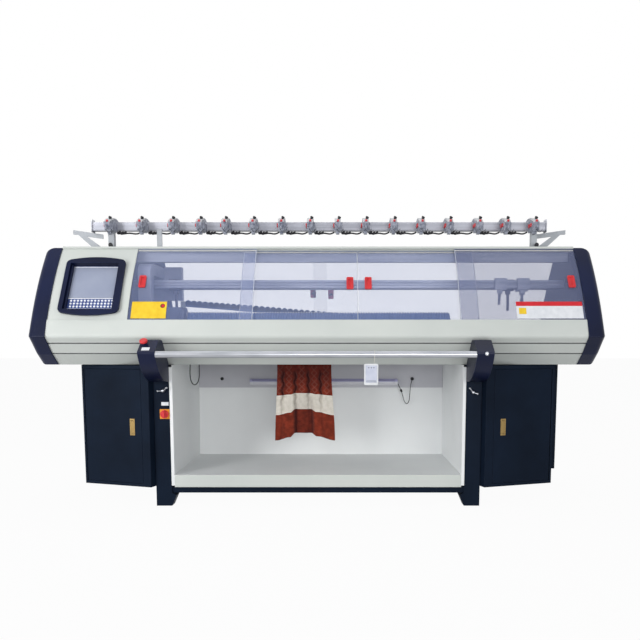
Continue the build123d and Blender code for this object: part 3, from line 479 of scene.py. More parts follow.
# %% [markdown]
# ## Metal
# Beds, rails and shafts are ground steel, the bar is chromed, the beams are anodised aluminium, and the
# locks are brass. Grinding leaves long streaks. A shader can stretch its highlights instead, but noise
# stretched along X looks the same from all sides and shows the streaks themselves. The beds are paler
# along their upper edge. The rack's beam gets painted shade along its underside and a painted highlight
# along its top. Both come in as a second colour between two heights.

# %% Metals
def metal(name, dark, light, roughness, stretch, depth=0.0002, metallic=1.0):
    return coat(name, dark, light, 60, roughness=roughness, gloss=0.5, grain=(260, depth),
                stretch=stretch, metallic=metallic)


def by_height(finish, source, low, high, colour):
    # A second colour comes in between two heights, over what the source gives
    place = finish.add("ShaderNodeSeparateXYZ")
    finish.join(finish.places(), "Vector", place, "Vector")
    share = finish.add("ShaderNodeMapRange", **{"From Min": low, "From Max": high})
    finish.join(place, "Z", share, "Value")
    mix = finish.add("ShaderNodeMix", data_type="RGBA")
    finish.join(share, "Result", mix, "Factor")
    finish.tree.links.new(source, mix.inputs[6])
    mix.inputs[7].default_value = colour
    finish.tree.links.new(mix.outputs[2], finish.shader.inputs["Base Color"])
    return mix.outputs[2]


along_x, down_z = (0.05, 1, 1), (1, 1, 0.1)
steel = metal("ground_steel", (124, 129, 146), (158, 162, 178), 0.4, along_x, metallic=0.7)
bed_steel = metal("oiled_bed_steel", (96, 130, 192), (124, 156, 212), 0.45, (1, 0.1, 0.1), metallic=0.3)
chrome = metal("chromed_bar", (158, 161, 168), (184, 186, 192), 0.28, (0.1, 1, 1), depth=0.00005)
alloy = metal("anodised_alloy", (122, 127, 142), (150, 154, 168), 0.45, (0.04, 1, 1), metallic=0.6)
beam_metal = metal("brushed_beam", (146, 148, 158), (178, 180, 190), 0.42, (0.03, 1, 1), metallic=0.4)
brass = metal("lock_brass", (134, 112, 72), (164, 140, 92), 0.38, down_z)
feeder_grey = metal("dark_feeder_steel", (46, 46, 60), (76, 76, 94), 0.45, (1, 1, 0.2), metallic=0.3)
# The beds are paler along their upper edge
by_height(bed_steel, bed_steel.shades, 1.0035, 1.0045, linear(226, 230, 238))
# Painted shade along the rack beam's underside, then a painted highlight along its top
painted_shade_below = by_height(beam_metal, beam_metal.shades, 1.462, 1.446, linear(84, 86, 96))
by_height(beam_metal, painted_shade_below, 1.492, 1.512, linear(214, 216, 222))
dress(steel, "carriage_rails", "feeder_rails")
dress(bed_steel, "needle_bed_front", "needle_bed_rear")
dress(feeder_grey, "left_feeder", "right_feeder")
dress(chrome, "start_bar")
dress(alloy, "top_beam", "power_modules", "drive_pulley", "idler_pulley")
dress(beam_metal, "rack_beam")
dress(brass, "left_door_lock", "right_door_lock")

# %% [markdown]
# The lock's frame is part of the door's own solid. It is brass too, so the faces inside the lock's
# outline take the brass. The door's front is slanted, so the test measures along the slant.

# %% Brass lock frames
corner, run = Vector((0.855, -0.250, 0)), Vector((0.377, 0.114, 0)).normalized()
facing = Vector((run.y, -run.x, 0))
lock_along, lock_z, lock_half_wide, lock_half_high, door_skin = 0.099, 0.413, 0.0142, 0.0432, 0.0125


def on_lock(side):
    def chosen(c, n):
        spot = Vector((side * c.x, c.y, 0)) - corner
        near = abs(spot.dot(run) - lock_along) < lock_half_wide and abs(c.z - lock_z) < lock_half_high
        return near and spot.dot(facing) > -door_skin
    return chosen


repaint(brass, "right_door", on_lock(1))
repaint(brass, "left_door", on_lock(-1))

# %% [markdown]
# ## Rubber, plastics and castings
# What is left is small: black and grey mouldings, the rollers' rubber, the grey castings of the
# carriage, and the white lamp, which turns violet towards its top. At this size only colour, sheen and
# grain tell them apart, so the one helper is enough.

# %% Rubber, belt and chain
black = coat("black_plastic", (22, 22, 26), (38, 38, 44), 20)
dress(black, "drive_belt", "grommets", "lamp_plug")
chain_grey = coat("chain_plastic", (80, 106, 158), (100, 126, 178), 30, roughness=0.5)
dress(chain_grey, "cable_chain")
rubber = coat("roller_rubber", (40, 42, 46), (58, 60, 64), 25, roughness=0.7, gloss=0.2, grain=(700, 0.0006))
dress(rubber, "take_down_roller", "press_roller")

# %% Carriage, tensioners, lamp, card and switch plate
grey = coat("grey_casting", (98, 106, 134), (118, 126, 152), 12, roughness=0.48, grain=(600, 0.0005))
dress(grey, "cam_boxes")
arch = coat("pale_arch_paint", (158, 162, 184), (178, 181, 200), 12, wear_and_highlight=(206, 209, 222),
            grain=(600, 0.0005))
dress(arch, "carriage_bridge")
cream = coat("white_moulding", (206, 208, 212), (222, 224, 226), 20, gloss=0.35)
dress(cream, "hanging_card")
lamp_grey = coat("lamp_sleeve", (206, 206, 214), (218, 218, 224), 20, roughness=0.4, gloss=0.4)
by_height(lamp_grey, lamp_grey.shades, 0.604, 0.612, linear(160, 158, 196))
dress(lamp_grey, "work_lamp")
# The pale edges of the tensioner shells are a painted highlight
unit_paint = coat("tensioner_shell", (92, 96, 114), (178, 182, 196), 55, roughness=0.42, gloss=0.35,
                  wear_and_highlight=(232, 234, 240))
dress(unit_paint, "tension_units")
dome_foot, facing_up = 1.486, 0.15
repaint(cream, "tension_units", lambda c, n: n.z > facing_up and c.z > dome_foot)
orange = coat("orange_plate", (226, 142, 34), (238, 158, 48), 40, roughness=0.4, grain=(1200, 0.0002))
dress(orange, "switch_plate")

# %% [markdown]
# ## Screen and keys
# The screen is a matt grey-blue glass, switched off. The keys are white, on a field of dark blue. Real
# glass over a dark panel would take two layers. Seen from outside, one smooth surface with a low gloss
# looks the same.

# %% Glass, blue field and white keys
glass = coat("screen_glass", (144, 152, 174), (154, 161, 181), 8, roughness=0.3, grain=(1600, 0.0001))
dress(glass, "screen")
overlay = coat("blue_overlay", (52, 66, 122), (72, 92, 148), 60, roughness=0.42, grain=(1000, 0.0001))
keycap = coat("white_keycap", (228, 232, 240), (242, 244, 248), 60, roughness=0.4, gloss=0.4,
              grain=(1400, 0.0001))

# %% [markdown]
# ## Where the curved front is
# The covers bend on one arc between the sill and the ridge, and the control panel lies against the same
# arc. Pieces could be moved there by eye, but then they would sink in or float. Two short functions
# turn a place on the arc or on the panel into a point in space, from the sill, the ridge and the radius.

# %% The covers' arc and the panel's plane
sill, ridge, cover_radius = Vector((-0.311, 0.954)), Vector((-0.085, 1.326)), 1.711
chord = ridge - sill
arc_centre = (sill + ridge) / 2 + Vector((chord.y, -chord.x)).normalized() * math.sqrt(
    cover_radius ** 2 - (chord.length / 2) ** 2)


def on_arc(angle, out=0.0):
    # A point of the covers' arc in the Y-Z plane, some way out of the housing
    reach = cover_radius + out
    return arc_centre.x - reach * math.cos(angle), arc_centre.y + reach * math.sin(angle)


def arc_angle(height):
    return math.asin((height - arc_centre.y) / cover_radius)


panel_angle = arc_angle(1.122)
panel_out = Vector((0, -math.cos(panel_angle), math.sin(panel_angle)))
panel_up = Vector((0, math.sin(panel_angle), math.cos(panel_angle)))
panel_spot = Vector((-1.131, *on_arc(panel_angle)))
overlay_face = -0.018


def panel_point(right, up):
    # A point of the overlay's face, seen from the panel's middle
    return panel_spot + Vector((right, 0, 0)) + panel_up * up + panel_out * overlay_face


print("arc centre", tuple(round(c, 3) for c in arc_centre), "radius", cover_radius)

# %% [markdown]
# ## Small pieces
# The trim is made from a few kinds of form. The first two are turned pieces and flat plates cut from an
# outline. Each could be an object of its own, but sixteen loose knobs are hard to keep in order, so a
# collector gathers them in one mesh. Where edges show, a small bevel catches the light.

# %% A collector for small forms
class Trim:
    def __init__(self):
        self.verts, self.faces = [], []

    def add(self, verts, faces):
        start = len(self.verts)
        self.verts += [tuple(v) for v in verts]
        self.faces += [tuple(start + i for i in face) for face in faces]

    def turned(self, profile, base, along, steps=24):
        # profile lists (distance along the axis, radius), from one end to the other
        axis = Vector(along).normalized()
        side = axis.orthogonal().normalized()
        other = axis.cross(side)
        verts, faces = [], []
        for reach, radius in profile:
            for i in range(steps):
                turn = 2 * math.pi * i / steps
                verts.append(Vector(base) + axis * reach + side * radius * math.cos(turn)
                             + other * radius * math.sin(turn))
        for j in range(len(profile) - 1):
            for i in range(steps):
                k = (i + 1) % steps
                faces.append((j * steps + i, j * steps + k, (j + 1) * steps + k, (j + 1) * steps + i))
        last = (len(profile) - 1) * steps
        faces.append(tuple(reversed(range(steps))))
        faces.append(tuple(range(last, last + steps)))
        self.add(verts, faces)

    def slab(self, outline, thick):
        # A flat plate: its outline in space, made solid along one vector
        count, push = len(outline), Vector(thick)
        verts = [Vector(p) for p in outline] + [Vector(p) + push for p in outline]
        faces = [tuple(reversed(range(count))), tuple(range(count, 2 * count))]
        faces += [(i, (i + 1) % count, count + (i + 1) % count, count + i) for i in range(count)]
        self.add(verts, faces)

    def make(self, name, finish, body, bevel=0.0, smooth=False):
        data = bpy.data.meshes.new(name)
        data.from_pydata(self.verts, [], self.faces)
        data.update()
        data.materials.append(finish.material)
        if smooth:
            data.polygons.foreach_set("use_smooth", [True] * len(data.polygons))
        piece = bpy.data.objects.new(name, data)
        bpy.context.collection.objects.link(piece)
        if bevel:
            rounding = piece.modifiers.new("rounding", "BEVEL")
            rounding.width = bevel
            rounding.segments = 2
            rounding.limit_method = "ANGLE"
        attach(piece, body)
        print(name, len(self.faces), "faces on", body)
        return piece


print("collector ready")

# %% [markdown]
# ## Panel trim
# A pale frame runs round the screen and the field of keys. It is printed on the real overlay, and four
# thin strips do the same with an edge that stays sharp close up. A navy liner fills the gap between the
# overlay and the bezel on the left.

# %% Pale frame and bezel liner
def panel_plate(trim, right, up, thick):
    trim.slab([panel_point(right[0], up[0]), panel_point(right[1], up[0]),
               panel_point(right[1], up[1]), panel_point(right[0], up[1])], panel_out * thick)


half_wide, screen_low, screen_high, keys_low = 0.1205, -0.0565, 0.134, -0.122
strip_wide, strip_thick = 0.0062, 0.0008
across = (-half_wide, half_wide)
frames = Trim()
panel_plate(frames, across, (screen_high - 0.005, screen_high), strip_thick)
panel_plate(frames, across, (screen_low - strip_wide * 0.7, screen_low), strip_thick)
panel_plate(frames, across, (keys_low, keys_low + strip_wide * 0.8), strip_thick)
panel_plate(frames, (half_wide - strip_wide * 1.3, half_wide),
            (keys_low + strip_wide, screen_high - strip_wide), strip_thick)
frames.make("panel_frame", keycap, "machine")
liner_wide, liner_deep, liner_foot = 0.009, 0.018, 0.013
liner = Trim()
panel_plate(liner, (-half_wide, -half_wide + liner_wide), (keys_low - liner_foot, screen_high), liner_deep)
liner.make("bezel_liner", shell, "machine", bevel=0.0015)

# %% [markdown]
# The field of keys is one thin sheet with an opening for the screen, and 39 round keys stand on it in
# three rows. They could be cut into the solid that marks their place, but turned caps are rounder, so
# the sheet and the caps take that solid's place.

# %% Overlay and keys
field_half_wide, field_half_high, field_thick = 0.1213, 0.1373, 0.004
window_half_wide, window_low, window_high = 0.1145, -0.056, 0.128
sheet = Trim()
for right, up in (((-field_half_wide, field_half_wide), (-field_half_high, window_low)),
                  ((-field_half_wide, field_half_wide), (window_high, field_half_high)),
                  ((-field_half_wide, -window_half_wide), (window_low, window_high)),
                  ((window_half_wide, field_half_wide), (window_low, window_high))):
    panel_plate(sheet, right, up, -field_thick)
field = sheet.make("key_field", overlay, "machine")
key_rows, key_columns, key_pitch, first_key = 3, 13, 0.0172, (-0.0965, -0.0715)
key_profile = [(0, 0.0058), (0.0015, 0.0058), (0.0022, 0.0050), (0.0024, 0.0020)]
caps = Trim()
for row in range(key_rows):
    for column in range(key_columns):
        spot = panel_point(first_key[0] + key_pitch * column, first_key[1] - key_pitch * row)
        caps.turned(key_profile, spot, panel_out, 14)
caps.make("key_caps", keycap, "machine")
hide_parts("keypad")

# %% [markdown]
# ## Labels
# The covers carry two plates of foil: a yellow one at the lower left, with a small round mark, and a
# white one with a red band at the lower right. Both are plain fields of colour. A flat plate would
# stand off the covers, so these bend with the acrylic, and their edges are given as angles of the arc.

# %% A plate bent to the covers
def bent(trim, x0, x1, low, high, out, thick, steps=8):
    # A plate bent to the covers' arc, between two angles
    verts, faces = [], []
    for i in range(steps + 1):
        angle = low + (high - low) * i / steps
        for x, lift in ((x0, out), (x1, out), (x1, out + thick), (x0, out + thick)):
            verts.append((x, *on_arc(angle, lift)))
    for i in range(steps):
        for k in range(4):
            a, b = 4 * i + k, 4 * i + (k + 1) % 4
            faces.append((a, b, b + 4, a + 4))
    faces += [(3, 2, 1, 0), (4 * steps, 4 * steps + 1, 4 * steps + 2, 4 * steps + 3)]
    trim.add(verts, faces)


print("bent plates can be added")

# %% Cover plates
def foil_paint(name, dark, light, clouds=30, roughness=0.45):
    return coat(name, dark, light, clouds, roughness=roughness, grain=(1200, 0.0001))


yellow = foil_paint("yellow_foil", (228, 188, 40), (242, 206, 56))
signal_red = foil_paint("red_foil", (196, 34, 44), (212, 44, 54))
paper = foil_paint("white_foil", (216, 219, 224), (232, 234, 238))
plate_low, plate_high, foil, print_thick = 0.4232, 0.4778, 0.0007, 0.0004
yellow_x, white_x, square_x = (-0.916, -0.743), (0.984, 1.312), (0.996, 1.032)


def cover_plate(name, finish, body, x, low, high, lift=-0.0001, thick=foil):
    plate = Trim()
    bent(plate, *x, low, high, lift, thick)
    plate.make(name, finish, body)


cover_plate("yellow_cover_plate", yellow, "outer_left_window",
            yellow_x, plate_low, plate_high)
mark_angle = plate_high - 0.014
mark_out = (0, -math.cos(mark_angle), math.sin(mark_angle))
mark = Trim()
mark.turned([(0, 0.0115), (0.0005, 0.0115), (0.0009, 0.0105)], (-0.763, *on_arc(mark_angle, foil)), mark_out)
mark.make("round_mark_ring", black, "outer_left_window")
dot = Trim()
dot.turned([(0, 0.0085), (0.0006, 0.0082), (0.0008, 0.0070)],
           (-0.761, *on_arc(mark_angle, foil + 0.0006)), mark_out)
dot.make("round_mark_dot", signal_red, "outer_left_window")
cover_plate("white_cover_plate", paper, "outer_right_window",
            white_x, plate_low, plate_high)
cover_plate("red_cover_band", signal_red, "outer_right_window",
            white_x, plate_high - 0.0145, plate_high, foil - 0.0002, print_thick)
cover_plate("yellow_cover_square", yellow, "outer_right_window",
            square_x, plate_low + 0.014, plate_low + 0.034, foil - 0.0002, print_thick)

# %% [markdown]
# ## Edges of the covers
# A sawn and polished edge of acrylic gathers light. Only true refraction would show that by itself, so
# each cover's free edge gets a thin bright strip, bent by the same helper. The inner covers run in a
# lane of their own, a little further in.

# %% Bright edges of the covers
inner_lane, edge_wide, edge_thick = -0.014, 0.0036, 0.0003
sill_angle, ridge_angle = arc_angle(0.956), arc_angle(1.322)
cut_edge = foil_paint("polished_cover_edge", (214, 219, 230), (232, 236, 244), roughness=0.2)
cut_edge.shader.inputs["Alpha"].default_value = 0.55
free_edges = (("outer_left_window", 0, -0.317 - edge_wide), ("inner_left_window", inner_lane, -0.385),
              ("outer_right_window", 0, 0.706), ("inner_right_window", inner_lane, 0.801 - edge_wide),
              ("inner_left_window", inner_lane, 0.204 - edge_wide))
for body, lane, place in free_edges:
    edges = Trim()
    bent(edges, place, place + edge_wide, sill_angle, ridge_angle, lane, edge_thick)
    edges.make(f"{body}_edge_{round(1000 * place)}".replace("-", "m"), cut_edge, body)

# %% [markdown]
# A pale felt strip runs along the top of each cover, where it slides in the ridge. It moves with its
# cover, so it is a bent plate too and rides on the same body.

# %% Top edges of the covers
gasket_low, gasket_high, gasket_thick = ridge_angle - 0.0052, ridge_angle - 0.0030, 0.0004
gasket = foil_paint("cover_gasket", (226, 221, 206), (238, 234, 222))
cover_tops = (("outer_left_window", 0, -0.928, -0.320), ("inner_left_window", inner_lane, -0.383, 0.202),
              ("inner_right_window", inner_lane, 0.208, 0.799), ("outer_right_window", 0, 0.708, 1.320))
for body, lane, x0, x1 in cover_tops:
    rim = Trim()
    bent(rim, x0, x1, gasket_low, gasket_high, lane, gasket_thick, steps=2)
    rim.make(body + "_gasket", gasket, body)

# %% [markdown]
# ## Behind the covers
# The cable chain is a row of links, and each link's joint shows as a round boss. A curve could carry
# them, but the sag is simple: a slope that steepens a little and ends flat. One sum gives the height of
# each boss.

# %% Knuckles of the cable chain
chain_start, chain_links, link_pitch, chain_y = -0.784, 40, 0.033, 0.307
boss_radius, boss_forward, boss_up = 0.0170, 0.0155, 0.0205
boss_rim, boss_wide = boss_radius * 0.9, 0.028
boss_profile = [(0, boss_rim), (0.001, boss_radius), (boss_wide - 0.001, boss_radius), (boss_wide, boss_rim)]
knuckles = Trim()
for i in range(chain_links):
    reach = i * link_pitch
    sag = max(0.940, 1.051 - 0.0755 * reach - 0.008 * reach ** 2)
    knuckles.turned(boss_profile, (chain_start + reach + boss_forward, chain_y, sag + boss_up), (0, 1, 0), 20)
knuckles.make("chain_knuckles", chain_grey, "machine")

# %% [markdown]
# A dark bent sheet behind the parked carriage is painted shade, which makes the left of the inside
# darker. It is the front arc again, mirrored over the machine's middle plane, as the rear covers are.

# %% Sheet of painted shade behind the parked carriage
middle_y, blind_inset, blind_thick = 0.062, -0.0245, 0.0015
shade_sheet_paint = foil_paint("shade_sheet_paint", (92, 99, 134), (106, 113, 148), clouds=4)
shade_sheet = Trim()
bent(shade_sheet, -1.322, -0.872, arc_angle(0.958), arc_angle(1.312), blind_inset, blind_thick)
shade_sheet.verts = [(x, 2 * middle_y - y, z) for x, y, z in shade_sheet.verts]
shade_sheet.faces = [tuple(reversed(face)) for face in shade_sheet.faces]
shade_sheet.make("end_shade_sheet", shade_sheet_paint, "machine")

# %% [markdown]
# ## Plates on the frame
# One small white plate is on the left leg, over the switch, and one on the sloping front of the left
# bracket. They are thin slabs, so that their edges throw a fine shadow.

# %% Small plates on the frame
plate_thick = 0.0008


def upright_plate(trim, x, z, y, thick=plate_thick):
    trim.slab([(x[0], y, z[0]), (x[1], y, z[0]), (x[1], y, z[1]), (x[0], y, z[1])], (0, -thick, 0))


leg_plate = Trim()
upright_plate(leg_plate, (-0.800, -0.763), (0.523, 0.541), -0.216)
leg_plate.make("leg_plate", paper, "machine")
slope_top, slope_foot = Vector((0, -0.392, 0.857)), Vector((0, -0.471, 0.801))
slope = (slope_foot - slope_top).normalized()
slope_out = Vector((0, slope.z, -slope.y))
plate_top, plate_run = slope_top + slope * 0.062, slope * 0.024
plate_left, plate_right = Vector((-0.823, 0, 0)), Vector((-0.785, 0, 0))
bracket_plate = Trim()
bracket_plate.slab([plate_top + plate_left, plate_top + plate_right, plate_top + plate_right + plate_run,
                    plate_top + plate_left + plate_run], slope_out * plate_thick)
bracket_plate.make("bracket_plate", paper, "machine")

# %% [markdown]
# ## Chrome hand levers
# Each bracket is held by a small chrome lever with a ball at both its ends, just under the bracket. A
# lever is a bent rod, so we need a third form: rings set across a path and joined into a tube. A round
# screw head, turned like a knob, sits on the front of the right bracket.

# %% A bent wire
def wire(trim, points, radius, steps=8):
    # A bent wire: rings across each point, joined into a tube
    points = [Vector(p) for p in points]
    side = None
    verts, faces = [], []
    for i, point in enumerate(points):
        ahead = (points[min(i + 1, len(points) - 1)] - points[max(i - 1, 0)]).normalized()
        side = (ahead.orthogonal() if side is None else side - ahead * side.dot(ahead)).normalized()
        other = ahead.cross(side)
        for j in range(steps):
            turn = 2 * math.pi * j / steps
            verts.append(point + side * radius * math.cos(turn) + other * radius * math.sin(turn))
    for i in range(len(points) - 1):
        for j in range(steps):
            k = (j + 1) % steps
            faces.append((i * steps + j, i * steps + k, (i + 1) * steps + k, (i + 1) * steps + j))
    last = (len(points) - 1) * steps
    faces += [tuple(reversed(range(steps))), tuple(range(last, last + steps))]
    trim.add(verts, faces)


print("wires can be added")

# %% Levers and screw
hub_profile = [(0, 0.010), (0.004, 0.010), (0.010, 0.007), (0.018, 0.007), (0.020, 0.005)]
lever_step, lever_thick, ball_radius = 0.004, 0.0032, 0.0052
ball_profile = [(ball_radius * (1 - math.cos(math.pi * i / 8)),
                 ball_radius * math.sin(math.pi * i / 8) + 0.0002) for i in range(9)]
levers = Trim()
for x, z, lean in ((-0.788, 0.600, 0.35), (0.792, 0.592, -0.62)):
    hub = Vector((x, -0.216, z))
    levers.turned(hub_profile, hub, (0, -1, 0))
    tip = Vector((math.cos(lean), 0, math.sin(lean)))
    root = hub + Vector((0, -0.014, 0))
    for way in (1, -1):
        path = [root + tip * way * lever_step * i + Vector((0, -0.0004 * i * i, 0.0003 * i * i))
                for i in range(6)]
        wire(levers, path, lever_thick)
        levers.turned(ball_profile, path[-1] - tip * way * 0.001, tip * way, 16)
levers.make("bracket_levers", chrome, "machine", smooth=True)
screw = Trim()
screw.turned([(0, 0.0095), (0.002, 0.0095), (0.004, 0.0075), (0.005, 0.004), (0.005, 0.0005)],
             (0.803, -0.470, 0.792), (0, -1, 0))
screw.make("bracket_screw", chrome, "machine", bevel=0.0004)

# %% [markdown]
# ## Rack trim
# Each tensioner has a black knob over its lamp. On both sides of its domed cover a pale crescent is a
# painted highlight along the edge of the dome. The crescent lies between two curves of the dome's own
# circle, which three points of the side view give.

# %% Knobs
unit_places = [-1.130, -0.958, -0.789, -0.640, -0.505, -0.354, -0.201, -0.046,
               0.102, 0.252, 0.403, 0.553, 0.703, 0.861, 1.010, 1.162]
knob_profile = [(0, 0.005), (0.008, 0.005), (0.010, 0.0085), (0.017, 0.0090), (0.019, 0.007), (0.020, 0.001)]
knobs = Trim()
for x in unit_places:
    knobs.turned(knob_profile, (x + 0.003, 0.064, 1.501), (0.5, -0.35, 1), 20)
knobs.make("tensioner_knobs", black, "machine", smooth=True)

# %% Painted highlight crescents on the domes
def circle_through(a, b, c):
    # Centre and radius of the circle through three points of a plane
    d = 2 * (a[0] * (b[1] - c[1]) + b[0] * (c[1] - a[1]) + c[0] * (a[1] - b[1]))
    sums = [p[0] ** 2 + p[1] ** 2 for p in (a, b, c)]
    u = (sums[0] * (b[1] - c[1]) + sums[1] * (c[1] - a[1]) + sums[2] * (a[1] - b[1])) / d
    v = (sums[0] * (c[0] - b[0]) + sums[1] * (a[0] - c[0]) + sums[2] * (b[0] - a[0])) / d
    return (u, v), math.dist((u, v), a)


dome_front, dome_crown, dome_back = (0.022, 1.482), (0.112, 1.518), (0.198, 1.502)
dome_centre, dome_radius = circle_through(dome_back, dome_crown, dome_front)
dome_from = math.atan2(dome_front[1] - dome_centre[1], dome_front[0] - dome_centre[0])
dome_to = math.atan2(1.5165 - dome_centre[1], 0.135 - dome_centre[0])
crescent_steps, unit_half_wide, crescent_thick = 12, 0.0151, 0.0009


def dome_place(x, share, inset):
    angle = dome_from + (dome_to - dome_from) * share
    reach = dome_radius - inset
    return (x, dome_centre[0] + reach * math.cos(angle), dome_centre[1] + reach * math.sin(angle))


shares = [i / crescent_steps for i in range(crescent_steps + 1)]
crescents = Trim()
for x in unit_places:
    for side in (-1, 1):
        face = x + side * unit_half_wide
        outer = [dome_place(face, share, 0.0005) for share in shares]
        inner = [dome_place(face, share, 0.0022 + 0.0062 * math.sin(math.pi * share)) for share in shares]
        crescents.slab(outer + inner[::-1], (side * crescent_thick, 0, 0))
crescents.make("dome_highlight_crescents", cream, "machine")

# %% [markdown]
# A wire loop hangs under each tensioner. The units' wiring runs under the beam in shallow waves, in
# short sleeves near every unit. It is tied down all along, so it isn't a free cord, and the tube helper
# with two waves added together is enough.

# %% Wire loops and wiring
loop_steps, loop_wide, loop_thick, wiring_thick = 10, 0.0035, 0.0012, 0.0042
wires = Trim()
for x in unit_places:
    bow = [math.sin(math.pi * i / loop_steps) for i in range(loop_steps + 1)]
    wire(wires, [(x - 0.004 + loop_wide * i, 0.020 - 0.006 * out, 1.446 - 0.018 * out)
                for i, out in enumerate(bow)], loop_thick, 6)
wires.make("tensioner_wires", black, "machine", smooth=True)
wiring_y, sleeve_y, wiring_z, wave_steps, unit_gap = 0.136, 0.132, 1.4475, 12, 0.018
sleeves = ((0.024, 0.003, 0.0085), (0.040, 0.006, 0.0075), (0.056, 0.004, 0.0065))
wiring = Trim()
for here, ahead in zip(unit_places, unit_places[1:]):
    span = ahead - here - 2 * unit_gap
    path = []
    for i in range(wave_steps + 1):
        share = i / wave_steps
        sag = 0.010 * math.sin(math.pi * share) + 0.004 * math.sin(3 * math.pi * share)
        path.append((here + unit_gap + share * span, wiring_y, wiring_z - sag))
    wire(wiring, path, wiring_thick)
    for reach, drop, thick in sleeves:
        wire(wiring, [(here + reach + 0.0032 * i, sleeve_y, wiring_z - drop - 0.003 * math.sin(i))
                     for i in range(6)], thick)
wiring.make("rack_wiring", black, "machine", smooth=True)

# %% [markdown]
# Black clamps with a round knob hold the rack's two posts on the housing. They are a slab and a turned
# knob in one mesh, with a small bevel, because their edges show against the pale housing.

# %% Post clamps
clamp_half_wide, clamp_deep, clamp_foot, clamp_top, clamp_front = 0.024, 0.052, 1.352, 1.366, 0.124
clamps = Trim()
for x in (-1.145, 1.183):
    left, right = x - clamp_half_wide, x + clamp_half_wide
    clamps.slab([(left, clamp_front, clamp_foot), (right, clamp_front, clamp_foot),
                 (right, clamp_front, clamp_top), (left, clamp_front, clamp_top)], (0, clamp_deep, 0))
    clamps.turned([(0, 0.006), (0.012, 0.006), (0.013, 0.011), (0.024, 0.012), (0.026, 0.010)],
                  (x + 0.006, clamp_front, 1.372), (0, -1, 0.1), 18)
clamps.make("post_clamps", black, "machine", bevel=0.001)

# %% [markdown]
# ## Face of the hanging card
# The small card is a white case with a pale blue face, three dark dots along its top and a darker line
# near its foot. The face is a thin slab set from the card's own box, so that it stays on the card.

# %% Card face
card_blue = foil_paint("card_face_blue", (186, 191, 208), (200, 204, 218))
card_dark = foil_paint("card_mark_grey", (70, 76, 96), (88, 94, 112))
mark_lift, dot_pitch = 0.0004, 0.012
card_low, card_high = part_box("hanging_card")
card_face = Trim()
upright_plate(card_face, (card_low[0] + 0.007, card_high[0] - 0.006),
              (card_low[2] + 0.012, card_high[2] - 0.008), card_low[1] + 0.0001, 0.0006)
card_face.make("card_face", card_blue, "card")
card_marks = Trim()
for i in range(3):
    centre = (card_low[0] + 0.022 + dot_pitch * i, card_low[1] - mark_lift, card_high[2] - 0.019)
    card_marks.turned([(0, 0.0028), (0.0004, 0.0026)], centre, (0, -1, 0), 14)
upright_plate(card_marks, (card_low[0] + 0.010, card_high[0] - 0.010),
              (card_low[2] + 0.018, card_low[2] + 0.0205), card_low[1] - mark_lift, mark_lift)
card_marks.make("card_marks", card_dark, "card")

# %% [markdown]
# ## The knitted panel
# The fabric comes down between the rollers and hangs in the bin. It is a ribbed knit in rust with a
# cream band: five raised ribs with cable diamonds, and narrow grooves between them. Lower down its
# middle falls back between two flaps. A cloth simulation would lose the ribs and the folds that the
# photograph shows, so a fine grid is pushed into that form by sums. Each point keeps its place on the
# flat fabric, so that bands and stitches follow the cloth and not the room.

# %% Form of the fabric
fabric_columns, fabric_rows = 170, 200
fabric_top, held_at, fabric_bottom, fabric_y = 1.0, 0.71, 0.302, 0.058
grooves, groove_deep, groove_wide, groove_wander = (0.107, 0.333, 0.572, 0.792), 0.013, 0.024, 0.014
rib_middles, diamond_height = (0.05, 0.22, 0.452, 0.682, 0.90), 0.066
cable_low, cable_high, strand_wide, strand_swing, strand_proud = 0.560, 0.72, 0.011, 0.050, 0.0014
flap_edges, crease_wide, fall_back, ripple, side_curl = (0.35, 0.62), 0.022, 0.016, 0.003, 0.006


def step_up(value, low, high):
    share = min(1.0, max(0.0, (value - low) / (high - low)))
    return share * share * (3 - 2 * share)


def height_of(row):
    return fabric_top - row * (fabric_top - fabric_bottom)


def fabric_lift(across):
    # The cut edge of the knit curls up towards its middle
    return (0.018 * step_up(across, 0.03, 0.24) + 0.022 * step_up(across, 0.25, 0.33)
            - 0.018 * step_up(across, 0.60, 0.70) - 0.022 * step_up(across, 0.72, 0.99))


def fabric_strand(across, height):
    # 1 on the crossing strands of the cables, above the cream band
    if not cable_low <= height <= cable_high:
        return 0.0
    best = 0.0
    for number, middle in enumerate(rib_middles):
        turn = math.pi * (height / diamond_height + 0.5 * (number % 2))
        swing = strand_swing * math.asin(math.sin(2 * turn)) / 1.57
        for way in (1, -1):
            best = max(best, math.exp(-((across - middle - way * swing) / strand_wide) ** 2))
    return best


def fabric_point(across, row):
    # Where a place of the flat fabric hangs, and how deep in shade it lies
    height = height_of(row)
    below = held_at - height
    hang = step_up(below, 0.0, held_at - fabric_bottom)
    left, right = -0.231 - 0.014 * hang, 0.067 + 0.020 * hang
    x = left + across * (right - left)
    z = height + fabric_lift(across) * step_up(below, 0.03, 0.36)
    fold = 0.0
    fade = step_up(below, 0.0, 0.05) * (1 - 0.75 * step_up(below, 0.13, 0.30))
    for number, groove in enumerate(grooves):
        wander = groove_wander * math.sin(2 * math.pi * height / diamond_height + 2 * number) * fade
        fold += groove_deep * fade * math.exp(-((across - groove - wander) / groove_wide) ** 2)
    # The middle that falls back and the creases by the flaps add painted shade to that of the grooves
    back = (step_up(across, 0.30, 0.36) - step_up(across, 0.61, 0.67)) * step_up(below, 0.10, 0.28)
    crease = sum(math.exp(-((across - edge) / crease_wide) ** 2) for edge in flap_edges)
    shade = min(1.0, fold / groove_deep + 0.42 * back + 0.5 * crease * step_up(below, 0.16, 0.26))
    fold += fall_back * back + ripple * hang * math.sin(2 * math.pi * 3.2 * across + 0.6)
    curl = side_curl * step_up(below, 0.30, 0.41) * abs(2 * across - 1) ** 4
    proud = strand_proud * fabric_strand(across, height)
    return (x, fabric_y + fold - curl - proud, z), shade


print("form of the fabric ready")

